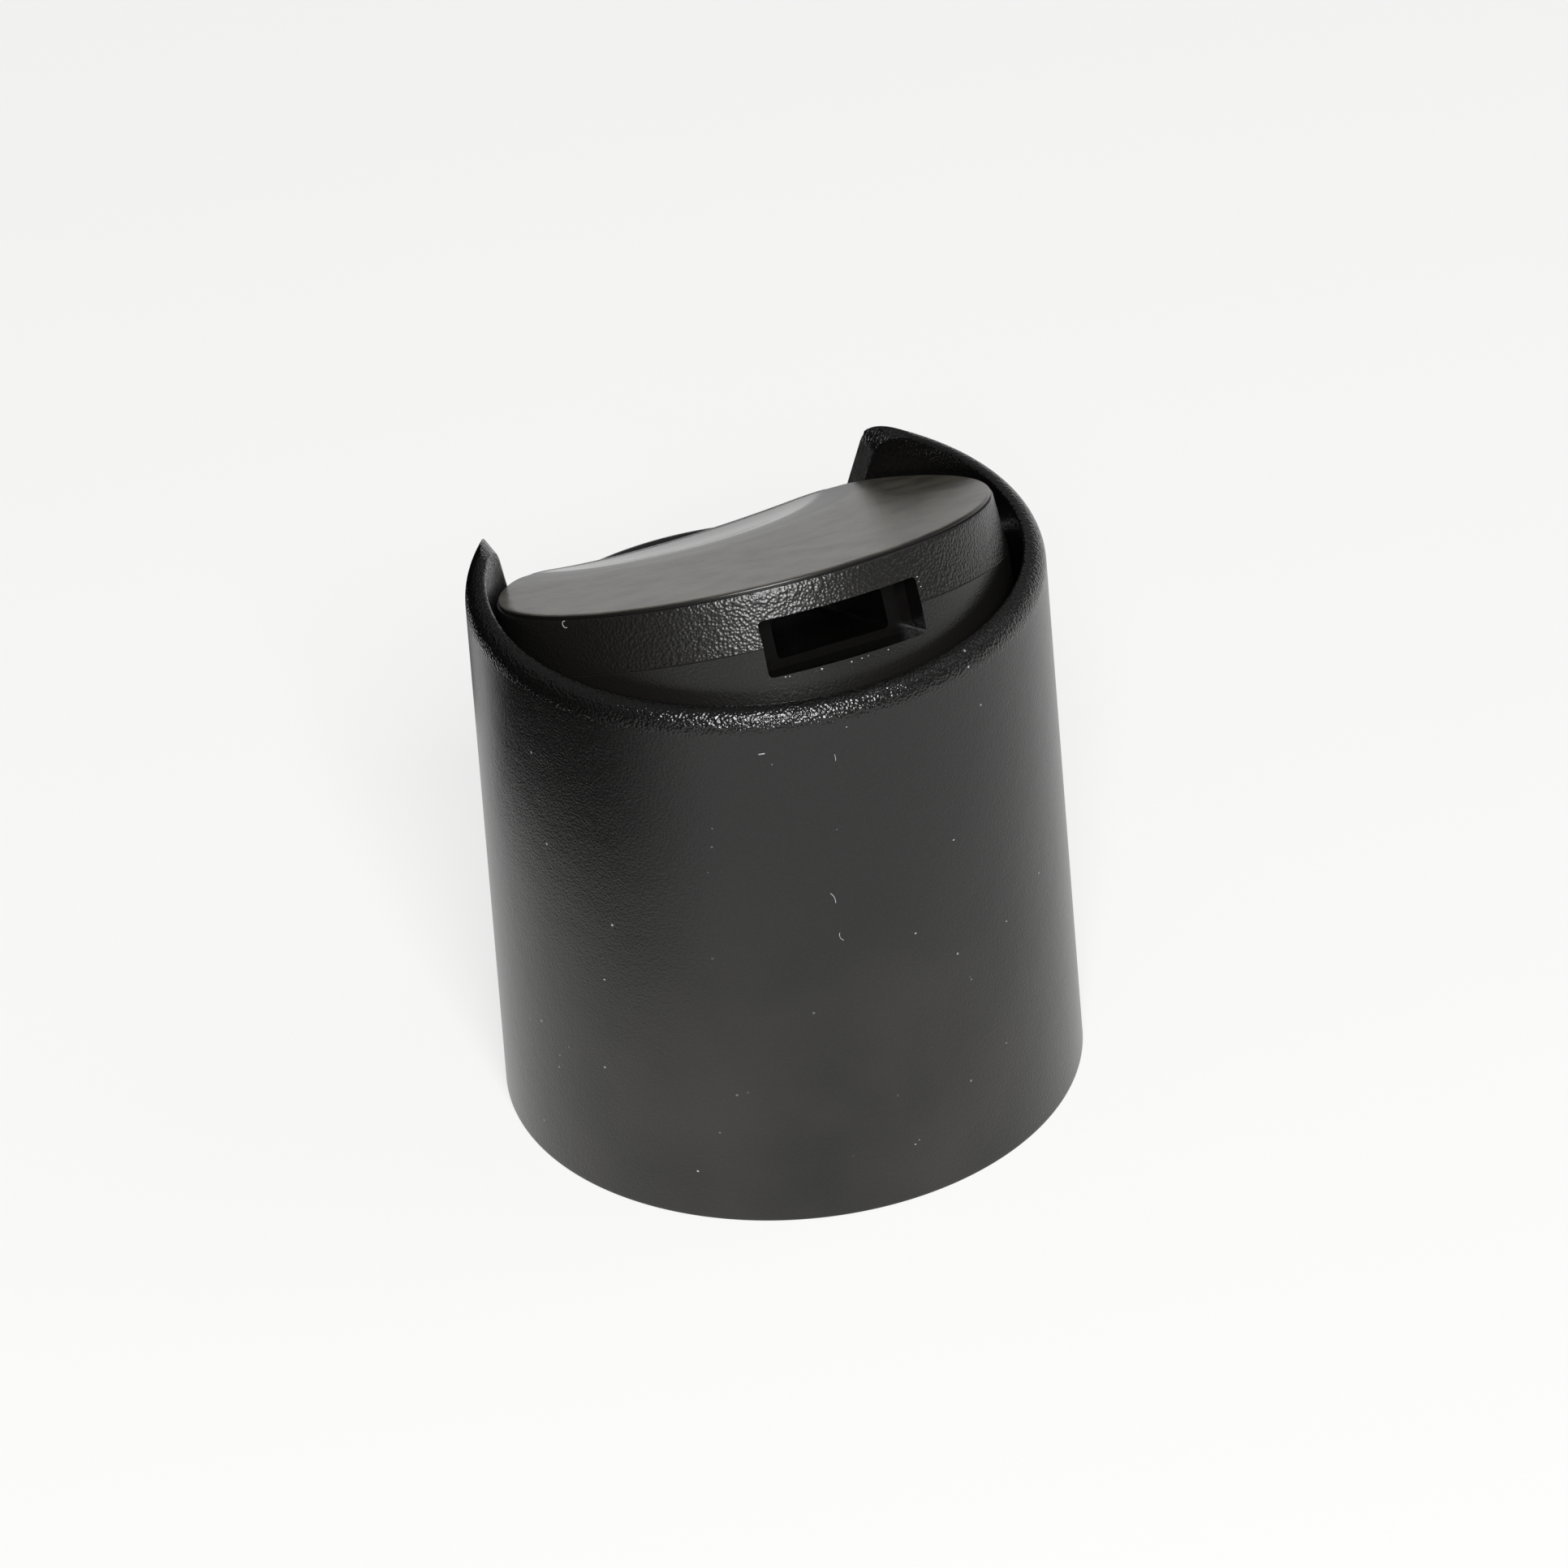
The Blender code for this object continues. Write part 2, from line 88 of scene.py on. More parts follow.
# Points of a turned shape this close to its axis are one
POLE_MERGE = 0.0005 * MM

# Points that the cutting leaves this close are one
MERGE = 0.02 * MM


def linear(code):
    """The linear RGBA of an sRGB hex colour."""
    channels = [int(code[i : i + 2], 16) / 255 for i in (1, 3, 5)]
    return (*[c / 12.92 if c <= 0.04045 else ((c + 0.055) / 1.055) ** 2.4 for c in channels], 1.0)


def number(name, value, description, **settings):
    """A number property that never falls below zero."""
    return bpy.props.FloatProperty(name=name, description=description, default=value, min=0.0, **settings)


def length(name, millimetres, description):
    """A length property, given in millimetres."""
    return number(name, millimetres * MM, description, unit="LENGTH", precision=5)


def angle(name, degrees, description):
    """An angle property, given in degrees."""
    return bpy.props.FloatProperty(
        name=name, description=description, default=math.radians(degrees), unit="ROTATION"
    )


def colour(name, code, description):
    """A colour property, given as an sRGB hex code."""
    return bpy.props.FloatVectorProperty(
        name=name, description=description, default=linear(code), min=0.0, max=1.0, size=4, subtype="COLOR"
    )


class BodySizes(bpy.types.PropertyGroup):
    """Sizes of the cap body."""

    base_radius: number("Base radius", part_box("cap_body")[1].x, "Outer radius at the skirt's rim", unit="LENGTH")
    cap_height: length("Height", 27.7, "From the skirt's rim to the top of the upper rim")
    skirt_draft: angle("Skirt draft", 0.8, "How far the outer wall leans in towards the top")
    base_round: length("Base round", 0.12, "Round at the foot of the outer wall")
    thread_radius: length("Thread radius", 12.05, "Inner radius of the skirt, at the thread's root")
    deck_top: length("Deck top", 17.605, "Height of the deck under the disc")
    deck_thickness: length("Deck thickness", 1.2, "Thickness of the deck")
    deck_fillet: length("Deck fillet", 0.6, "Round between the deck and the chamber wall")
    rim_wall: length("Rim wall", 1.02, "Thickness of the wall round the disc, at the rim")
    rim_round: length("Rim round", 0.8, "Width of the round on the rim's outer side")
    rim_drop: length("Rim drop", 1.08, "Height of the round on the rim's outer side")
    rim_edge: length("Rim edge", 0.2, "Round on the rim's inner side")
    notch_width: length("Notch width", 19.7, "Width of the thumb notch at the rim")
    notch_depth: length("Notch depth", 6.03, "Depth of the thumb notch below the rim")
    notch_lean: angle("Notch lean", 13.0, "Lean of the thumb notch's sides")
    notch_corner: length("Notch corner", 1.2, "Round in the thumb notch's lower corners")
    ear_round: length("Ear round", 1.9, "Round on the tips of the two ears beside the notch")
    lip_round: length("Thumb lip", 0.62, "Round on the outer edge of the notch's floor, where the thumb goes")
    notch_edge: length("Notch edge", 0.15, "Round along the notch's inner and outer edges")
    plug_radius: length("Plug ring radius", 8.9, "Outer radius of the ring that enters the bottle's bore")
    plug_wall: length("Plug ring wall", 0.8, "Thickness of the plug ring")
    plug_depth: length("Plug ring depth", 2.2, "How far the plug ring hangs below the deck")


class DiscSizes(bpy.types.PropertyGroup):
    """Sizes of the pivoting disc."""

    gap: length("Gap", 0.5, "Gap between the disc and the chamber wall, at the parting line")
    draft: angle("Draft", 3.8, "Lean of the disc's wall, both ways from the parting line")
    skirt: length("Skirt", 5.87, "Height of the disc")
    plate: length("Plate", 1.3, "Thickness of the disc's top")
    wall: length("Wall", 1.1, "Thickness of the disc's skirt")
    tilt: angle("Tilt", 22.8, "How far the disc is shown open")
    pivot_depth: length("Pivot depth", 2.8, "From the disc's top down to its pivot and its parting line")
    scoop_depth: length("Scoop depth", 1.05, "Depth of the thumb scoop at the disc's rear edge")
    scoop_dish: length("Scoop dish radius", 35.0, "Radius of the scoop's hollow middle, seen in section")
    scoop_brow: length("Scoop brow radius", 27.7, "Radius of the brow between the flat top and the hollow")
    orifice_width: length("Orifice width", 7.8, "Width of the spout's opening")
    orifice_height: length("Orifice height", 2.65, "Height of the spout's opening")
    orifice_drop: length("Orifice drop", 1.55, "From the disc's top down to the opening")
    orifice_corner: length("Orifice corner", 0.22, "Round in the opening's corners")
    pin_radius: length("Pin radius", 1.1, "Radius of the two pivot pins")


class CapColours(bpy.types.PropertyGroup):
    """Colours of the two mouldings: the pigmented plastic's own, painted reflections on the disc's top and the lower
    body wall, painted shade in the spout, and dust.
    """

    body: colour("Body", "#0a0909", "Pigment of the cap body")
    body_grit_and_painted_light: colour("Body, rubbed", "#242320", "Lighter tone where the body was handled")
    # This colour is partly grit's random paler tone and partly, low on the wall in clouds, a painted reflection of the
    # pale floor
    disc: colour("Disc", "#131211", "Pigment of the disc")
    # This colour is a painted reflection: the paler top face stands for the room mirrored at a grazing view
    disc_painted_reflection: colour("Disc, rubbed", "#57544b", "Paler tone where a thumb has rubbed the disc's top")
    # This colour is painted shade: darker than the disc's pigment, it darkens the spout and the disc's inside
    spout: colour("Spout", "#0b0a09", "Inside of the spout, where little light comes back")
    dust: colour("Dust", "#8d8f92", "Specks of dust caught in the grain")
    lint: colour("Lint", "#a8aab0", "Dust fibres")


class StudioSettings(bpy.types.PropertyGroup):
    """Light and camera of the studio."""

    camera_azimuth: angle("Camera azimuth", -21.4, "Camera's place round the cap, from the -Y axis")
    camera_elevation: angle("Camera elevation", 33.03, "Camera's height above the horizon")
    camera_roll: angle("Camera roll", -4.63, "Turn of the camera about its own line of sight")
    focal_length: number("Focal length", 198.969, "Lens, in millimetres on a 36 mm sensor")
    key_energy: number("Key light", 3.8, "Power of the soft front light", unit="POWER")
    side_energy: number("Side light", 0.2, "Power of the soft light at the right", unit="POWER")
    fill: number("Room light", 0.18, "Strength of the dim room round the cap")
    floor_share: number("White floor", 0.7, "Share of plain white in the floor that the camera and gloss see", max=1.0)
    flag_distance: length("Flag distance", 38.5, "From the cap's axis to the black flag cards at its left")
    flag_height: length("Flag height", 40.0, "Height of the black flag cards")


def body_layout(s):
    """Radius of the chamber that the disc rocks in, the pivot's place, and that of the outlet's bore."""
    chamber = s.base_radius - s.cap_height * math.tan(s.skirt_draft) - s.rim_wall
    pivot_y, pivot_z = PIVOT["pos_m"][1:]
    bore_y = pivot_y - SEAT_RADIUS * math.sin(BORE_ANGLE)
    return SimpleNamespace(chamber=chamber, pivot_y=pivot_y, pivot_z=pivot_z, bore_y=bore_y)


# Valve and pivot, shared by both mouldings
DRUM_RADIUS = 5.6 * MM
SEAT_CLEARANCE = 0.3 * MM
SEAT_RADIUS = DRUM_RADIUS + SEAT_CLEARANCE
BORE_ANGLE = math.radians(27.0)
PORT_WIDTH = 4.6 * MM
PORT_LENGTH = 1.66 * MM
COLLAR_WALL = 0.8 * MM
PIN_REACH = 0.45 * MM
PIN_CHAMFER = 0.15 * MM
PIN_END_CLEARANCE = 0.2 * MM
PAST = 2.0 * MM
OVERLAP = 0.2 * MM

# The disc's top edge, with the narrow groove and step that the mould's insert leaves, and its parting line
DISC_EDGE = 0.12 * MM
STEP_DEPTH = 0.2 * MM
STEP_OUT = 0.06 * MM
STEP_LIP = 0.018 * MM
GROOVE_DEPTH = 0.07 * MM
GROOVE_LEAN = 0.02 * MM
SEAM = 0.03 * MM
SEAM_BACK = 0.01 * MM
FILLET = 0.5 * MM

# The round on the notch's floor: where on its arc it starts, in degrees, the share of half its width over which
# it fades out, and how far past its own height the cutter is lifted at its ends to clear the wall
LIP_START = 80
LIP_FADE_SHARE = 0.35
LIP_CLEAR = 1.02

# A step just wide enough to keep two points apart
HAIR = 0.002 * MM

# Slope at which the scoop leaves the flat top
RUN_OUT = math.radians(0.4)

# Finish of the two mouldings
POLYPROPYLENE_IOR = 1.49
BODY_ROUGHNESS = 0.28
RIM_ROUGHNESS = 0.2
DISC_ROUGHNESS = 0.32
SPOUT_ROUGHNESS = 0.18
LINT_ROUGHNESS = 0.85
SMOOTH = {"interpolation_type": "SMOOTHSTEP"}
WALL_GRAIN = 0.5
RIM_GRAIN = 0.8
BAND_GRAIN = 0.65
CRATER_SMOOTHNESS = 0.35

# Neck thread
THREAD_PITCH = 3.175 * MM
THREAD_TURNS = 1.5
THREAD_START = 4.2 * MM
THREAD_RIDGE = 1.0 * MM
THREAD_ROOT_WIDTH = 1.9 * MM
THREAD_CREST_WIDTH = 0.8 * MM
THREAD_FADE_SHARE = 0.08
LEAD_IN_DEPTH = 0.45 * MM
LEAD_IN_HEIGHT = 1.6 * MM

# Spout behind the orifice
MOUTH_DEPTH = 2.4 * MM
DUCT_WIDTH = 5.5 * MM
DUCT_HEIGHT = 1.85 * MM
DUCT_WALL = 0.9 * MM

# Studio. Lamps: azimuth from the camera and elevation, in degrees, then size and distance, in metres
KEY_LAMP = (5, 39, 0.2, 0.55)
SIDE_LAMP = (95, 45, 0.3, 0.5)
LAMPS_AIM = (0, 0, 15 * MM)

# Flags: start and end azimuth from the camera, in degrees, and the foot's height in millimetres
FLAGS = {"left_flag": (-117, -25, 0), "upper_flag": (-140, -117, 12), "rear_flag": (-156, -140, 0)}
FLAG_STEPS = 24
CAMERA_PLACE = (-0.123606, -0.316889, 0.236351)
SENSOR_WIDTH = 36
FLOOR_SIZE = 3.0

# Lint: azimuth in degrees, height, turn in degrees, length, bend radius and thickness, lengths in millimetres
FIBRE_SIDES = 6
FIBRE_STEPS = 10
BODY_FIBRES = (
    (-22.9, 25.66, 96, 0.28, 2.0, 0.06),
    (-11.2, 17.55, 20, 0.62, 0.7, 0.035),
    (-10.7, 15.35, 200, 0.5, 0.35, 0.03),
    (-8.8, 24.95, 5, 0.35, 1.5, 0.03),
)
BODY_SPECKS = (
    (15.0, 18.52, 0.11), (27.4, 12.53, 0.09), (4.7, 14.46, 0.13), (-59.5, 12.29, 0.13), (1.1, 3.03, 0.1),
    (-42.2, 2.62, 0.14), (24.6, 6.1, 0.09), (-21.1, 25.04, 0.07), (-6.1, 26.4, 0.08), (2.0, 3.2, 0.08),
)
DISC_FIBRES = ((-66.7, -0.42, 190, 0.62, 0.16, 0.035),)
DISC_CRUMBS = (
    (-7.6, -4.33, 0.12), (-0.7, -4.38, 0.1), (1.8, -4.36, 0.09), (8.4, -4.35, 0.08), (-15.8, -4.28, 0.1),
    (-14.9, -4.3, 0.08), (3.4, -4.34, 0.07), (19.9, -1.62, 0.09), (20.2, -2.1, 0.08), (20.0, -1.85, 0.06),
)


def arc(centre, radius, start, end, steps):
    """Points along an arc, with its angles in degrees from the first axis towards the second."""
    points = []
    for step in range(steps + 1):
        turn = math.radians(start + (end - start) * step / steps)
        points.append((centre[0] + radius * math.cos(turn), centre[1] + radius * math.sin(turn)))
    return points


def between(start, end, steps):
    """Points inside a straight run, without its two ends."""
    return [
        tuple(a + (b - a) * step / steps for a, b in zip(start, end))
        for step in range(1, steps)
    ]


def object_of(name, bm, matrix=None):
    """An object for a bmesh, which is freed."""
    if matrix is not None:
        bm.transform(matrix)
    mesh = bpy.data.meshes.new(name)
    bm.to_mesh(mesh)
    bm.free()
    obj = bpy.data.objects.new(name, mesh)
    bpy.context.scene.collection.objects.link(obj)
    return obj


def spun(bm, geom, sweep, steps, rise=0.0, closed=False):
    """Spins geometry round the Z axis through a sweep, rising at each step, and merges a full turn's ends."""
    bmesh.ops.spin(
        bm,
        geom=geom,
        axis=(0, 0, 1),
        cent=(0, 0, 0),
        dvec=(0, 0, rise),
        angle=sweep,
        steps=steps,
        use_merge=closed,
        use_duplicate=False,
    )


def turned(name, profile, steps, matrix=None):
    """A profile of (radius, height) points spun all the way round the Z axis."""
    bm = bmesh.new()
    verts = [bm.verts.new((radius, 0, height)) for radius, height in profile]
    edges = [bm.edges.new(pair) for pair in zip(verts, verts[1:])]
    spun(bm, verts + edges, math.tau, steps, closed=True)
    bmesh.ops.remove_doubles(bm, verts=bm.verts, dist=POLE_MERGE)
    bmesh.ops.recalc_face_normals(bm, faces=bm.faces)
    return object_of(name, bm, matrix)


def swept(section, start_height, sweep, steps, rise=0.0):
    """A bmesh of a closed (radius, height) section swept round the Z axis, with its ends closed."""
    bm = bmesh.new()
    face = bm.faces.new([bm.verts.new((radius, 0, start_height + height)) for radius, height in section])
    spun(bm, [face, *face.edges, *face.verts], sweep, steps, rise)
    bmesh.ops.holes_fill(bm, edges=[edge for edge in bm.edges if edge.is_boundary], sides=len(section))
    return bm


def block(name, low, high):
    """A box between two corners."""
    bm = bmesh.new()
    middle = [(a + b) / 2 for a, b in zip(low, high)]
    size = [b - a for a, b in zip(low, high)]
    bmesh.ops.create_cube(bm, size=1, matrix=Matrix.Translation(middle) @ Matrix.Diagonal((*size, 1)))
    return object_of(name, bm)


def bevel(bm, edges, width):
    """Rounds these edges over this width."""
    bmesh.ops.bevel(
        bm, geom=edges, offset=width, segments=BEVEL_STEPS, profile=0.5, affect="EDGES", material=-1
    )


def rod(name, radius, half_length, centre, steps, chamfer=0.0):
    """A cylinder along X through a point."""
    bm = bmesh.new()
    place = Matrix.Translation(centre) @ Matrix.Rotation(math.pi / 2, 4, "Y")
    bmesh.ops.create_cone(
        bm, cap_ends=True, segments=steps, radius1=radius, radius2=radius, depth=2 * half_length, matrix=place
    )
    if chamfer:
        bevel(bm, [edge for edge in bm.edges if edge.calc_face_angle() > PIN_END_ANGLE], chamfer)
    return object_of(name, bm)


def prism(name, outline, depth, matrix):
    """A flat outline in the XY plane, pushed along +Z and then placed."""
    bm = bmesh.new()
    face = bm.faces.new([bm.verts.new((x, y, 0)) for x, y in outline])
    grown = bmesh.ops.extrude_face_region(bm, geom=[face])["geom"]
    bmesh.ops.translate(bm, verts=[g for g in grown if isinstance(g, bmesh.types.BMVert)], vec=(0, 0, depth))
    bmesh.ops.recalc_face_normals(bm, faces=bm.faces)
    return object_of(name, bm, matrix)


def stadium(width, height):
    """Outline of a slot with round ends, its width along X."""
    radius = height / 2
    straight = width / 2 - radius
    right = arc((straight, 0), radius, -90, 90, 2 * ROUND_STEPS)
    left = arc((-straight, 0), radius, 90, 270, 2 * ROUND_STEPS)
    return right + left


def rounded_box(width, height, radius):
    """Outline of a rectangle with round corners about the origin."""
    x, y = width / 2 - radius, height / 2 - radius
    points = []
    for centre, start in (((x, y), 0), ((-x, y), 90), ((-x, -y), 180), ((x, -y), 270)):
        points += arc(centre, radius, start, start + 90, EDGE_STEPS)
    return points


def combine(target, tools):
    """Cuts, joins or trims the target with each (tool, operation) in turn, and removes the tools."""
    for tool, operation in tools:
        modifier = target.modifiers.new(tool.name, "BOOLEAN")
        modifier.object = tool
        modifier.operation = operation
        modifier.solver = "EXACT"
    bpy.context.view_layer.update()
    graph = bpy.context.evaluated_depsgraph_get()
    mesh = bpy.data.meshes.new_from_object(target.evaluated_get(graph))
    target.modifiers.clear()
    target.data = mesh
    for tool, _ in tools:
        bpy.data.objects.remove(tool, do_unlink=True)


def finish_mesh(obj):
    """Smooth shading with sharp edges kept, and normals that follow the larger faces."""
    mesh = obj.data
    mesh.shade_smooth()
    mesh.set_sharp_from_angle(angle=SHARP_ANGLE)
    weighted = obj.modifiers.new("weighted normals", "WEIGHTED_NORMAL")
    weighted.keep_sharp = True
    weighted.weight = 60


def body_profile(s, lay):
    """Section of the cap body, from the middle of the deck's top round to the middle of its underside."""
    deck_bottom = s.deck_top - s.deck_thickness
    lead_in = s.thread_radius + LEAD_IN_DEPTH
    plug_low = deck_bottom - s.plug_depth
    plug_inner = s.plug_radius - s.plug_wall
    tip = s.plug_wall * 0.3
    profile = [(0, s.deck_top), (3 * MM, s.deck_top), (8 * MM, s.deck_top)]
    profile += arc((lay.chamber - s.deck_fillet, s.deck_top + s.deck_fillet), s.deck_fillet, -90, 0, EDGE_STEPS)
    profile += [(lay.chamber, height * MM) for height in (18.6, 20.5, 23.3, 25.4, 27.2)]
    profile += arc((lay.chamber + s.rim_edge, s.cap_height - s.rim_edge), s.rim_edge, 180, 90, EDGE_STEPS)
    for x, y in arc((0, 0), 1.0, 90, 0, ROUND_STEPS):
        height = s.cap_height - s.rim_drop * (1 - y)
        wall = s.base_radius - height * math.tan(s.skirt_draft)
        profile += [(wall - s.rim_round * (1 - x), height)]
    for height in (26.4, 25.3, 23.5, 20.3, 17.5, 14.5, 11.5, 8.5, 5.5, 2.5, 0.8, 0.3):
        profile += [(s.base_radius - height * MM * math.tan(s.skirt_draft), height * MM)]
    profile += arc((s.base_radius - s.base_round, s.base_round), s.base_round, 0, -90, EDGE_STEPS)
    profile += [(lead_in, 0), (lead_in, LEAD_IN_HEIGHT), (s.thread_radius, LEAD_IN_HEIGHT + LEAD_IN_DEPTH)]
    profile += between((s.thread_radius, LEAD_IN_HEIGHT + LEAD_IN_DEPTH), (s.thread_radius, deck_bottom), 4)
    profile += [(s.thread_radius, deck_bottom), (s.plug_radius, deck_bottom)]
    profile += arc((s.plug_radius - tip * 2, plug_low + tip), tip, 0, -90, EDGE_STEPS)
    profile += arc((plug_inner + tip, plug_low + tip), tip, -90, -180, EDGE_STEPS)
    profile += [(plug_inner, deck_bottom), (3 * MM, deck_bottom), (0, deck_bottom)]
    return profile


def notch_outline(s):
    """Outline of the thumb notch seen from the rear, widening upwards, with the ears' tips rounded off."""
    top = s.cap_height
    floor = top - s.notch_depth
    lean = math.degrees(s.notch_lean)
    run_out = 0.05 * MM

    def side(height):
        return s.notch_width / 2 - (top - height) * math.tan(s.notch_lean)

    corner_height = floor + s.notch_corner
    corner_x = side(corner_height) - s.notch_corner / math.cos(s.notch_lean)
    ear_height = top - s.ear_round + run_out
    ear_x = side(ear_height) + s.ear_round / math.cos(s.notch_lean)
    right = arc((corner_x, corner_height), s.notch_corner, -90, -lean, EDGE_STEPS)
    right += arc((ear_x, ear_height), s.ear_round, 180 - lean, 90, ROUND_STEPS)
    right += [(ear_x, top + PAST)]
    left = [(-x, height) for x, height in reversed(right)]
    return right + left


def thread_ridge(s):
    """The neck thread: a trapezoid swept up a helix inside the skirt, fading out at both ends."""
    root = s.thread_radius + OVERLAP
    crest = s.thread_radius - THREAD_RIDGE
    section = (
        (root, -THREAD_ROOT_WIDTH / 2),
        (crest, -THREAD_CREST_WIDTH / 2),
        (crest, THREAD_CREST_WIDTH / 2),
        (root, THREAD_ROOT_WIDTH / 2),
    )
    steps = round(TURN_STEPS * THREAD_TURNS / 2)
    climb = THREAD_PITCH * THREAD_TURNS
    bm = swept(section, THREAD_START, math.tau * THREAD_TURNS, steps, climb / steps)
    for vert in bm.verts:
        radius = math.hypot(vert.co.x, vert.co.y)
        if radius > s.thread_radius:
            continue
        along = (vert.co.z - THREAD_START) / climb
        full = min(along, 1 - along) / THREAD_FADE_SHARE
        eased = s.thread_radius - THREAD_RIDGE * min(1.0, max(THREAD_FADE_SHARE, full))
        vert.co.x *= eased / radius
        vert.co.y *= eased / radius
    bmesh.ops.recalc_face_normals(bm, faces=bm.faces)
    return object_of("thread", bm, Matrix.Rotation(math.pi / TURN_STEPS, 4, "Z"))


def pin_end(lay):
    """How far from the middle a pivot pin's end lies."""
    return math.sqrt(lay.chamber**2 - lay.pivot_y**2) + PIN_REACH


def thumb_lip(s):
    """The cutter that rounds the outer edge of the notch's floor, fading out towards its two corners."""
    floor = s.cap_height - s.notch_depth
    wall = s.base_radius - floor * math.tan(s.skirt_draft)
    reach = math.asin((s.notch_width / 2 - s.notch_depth * math.tan(s.notch_lean)) / wall)
    fade = reach * LIP_FADE_SHARE
    inner = wall - s.lip_round
    section = [(inner - OVERLAP, floor + OVERLAP), (inner, floor + HAIR)]
    section += arc((inner, floor - s.lip_round), s.lip_round, LIP_START, 0, 2 * EDGE_STEPS)
    section += [(wall + PAST, floor - s.lip_round), (wall + PAST, floor + OVERLAP)]
    bm = swept(section, 0.0, 2 * reach, TURN_STEPS // 3)
    for vert in bm.verts:
        turn = math.atan2(vert.co.y, vert.co.x)
        share = min(1.0, max(0.0, min(turn, 2 * reach - turn) / fade))
        vert.co.z += (1 - share**2 * (3 - 2 * share)) * s.lip_round * LIP_CLEAR
    bmesh.ops.recalc_face_normals(bm, faces=bm.faces)
    return object_of("lip", bm, Matrix.Rotation(math.pi / 2 - reach, 4, "Z"))


def soften_notch(body, s):
    """Rounds the edges that the thumb notch leaves on the rim's wall, up to the tips of the two ears."""
    floor = s.cap_height - s.notch_depth
    tips = s.cap_height - s.ear_round * 0.5
    bm = bmesh.new()
    bm.from_mesh(body.data)

    # The cutting leaves its points in no fixed order, and which of two close ones stays goes by the order
    order = {vert: rank for rank, vert in enumerate(sorted(bm.verts, key=lambda vert: tuple(vert.co)))}
    bm.verts.sort(key=lambda vert: order[vert])
    bmesh.ops.remove_doubles(bm, verts=bm.verts, dist=MERGE)

    # The cut ran along Y, so the notch's own faces are the ones that don't lean that way
    def on_notch(face):
        return abs(face.normal.y) < LEAN_LIMIT

    edges = []
    for edge in bm.edges:
        middle = (edge.verts[0].co + edge.verts[1].co) / 2
        if middle.y < s.base_radius / 3 or not floor - OVERLAP < middle.z < tips:
            continue
        first, second = edge.link_faces
        if on_notch(first) != on_notch(second) and edge.calc_face_angle() > NOTCH_EDGE_ANGLE:
            edges.append(edge)
    bevel(bm, edges, s.notch_edge)
    bm.to_mesh(body.data)
    bm.free()


def build_body(s, disc):
    """The cap body: skirt, deck, rim, thumb notch, outlet collar, pivot sockets and neck thread."""
    lay = body_layout(s)
    body = turned("cap_body_moulding", body_profile(s, lay), TURN_STEPS)

    reach = 2 * s.base_radius
    across = Matrix.Translation((0, reach, 0)) @ Matrix.Rotation(math.pi / 2, 4, "X")
    notch = prism("notch", notch_outline(s), reach, across)

    collar_low = s.deck_top - s.deck_thickness / 2
    collar_outline = stadium(PORT_WIDTH + 2 * COLLAR_WALL, PORT_LENGTH + 2 * COLLAR_WALL)
    low = Matrix.Translation((0, lay.bore_y, collar_low))
    collar = prism("collar", collar_outline, lay.pivot_z - collar_low, low)
    pivot = (0, lay.pivot_y, lay.pivot_z)
    combine(collar, [(rod("seat", SEAT_RADIUS, s.base_radius, pivot, DRUM_STEPS), "DIFFERENCE")])
    low = Matrix.Translation((0, lay.bore_y, s.deck_top - DRUM_RADIUS))
    bore = prism("bore", stadium(PORT_WIDTH, PORT_LENGTH), 2 * DRUM_RADIUS, low)
    sockets = rod("sockets", disc.pin_radius + SEAT_CLEARANCE, pin_end(lay) + PIN_END_CLEARANCE, pivot, PIN_STEPS)
    combine(
        body,
        [
            (notch, "DIFFERENCE"),
            (thumb_lip(s), "DIFFERENCE"),
            (thread_ridge(s), "UNION"),
            (collar, "UNION"),
            (bore, "DIFFERENCE"),
            (sockets, "DIFFERENCE"),
        ],
    )
    soften_notch(body, s)
    finish_mesh(body)
    return body


def disc_matrix(disc, lay):
    """Place of the open disc: its own frame has z = 0 on the flat top."""
    pivot = Matrix.Translation((0, lay.pivot_y, lay.pivot_z))
    tilt = Matrix.Rotation(-disc.tilt, 4, "X")
    return pivot @ tilt @ Matrix.Translation((0, -lay.pivot_y, disc.pivot_depth))


def disc_radii(disc, lay):
    """Radius of the disc's wall at its top, its parting line and its foot."""
    middle = lay.chamber - disc.gap
    top = middle - disc.pivot_depth * math.tan(disc.draft)
    foot = middle - (disc.skirt - disc.pivot_depth) * math.tan(disc.draft)
    return top, middle, foot


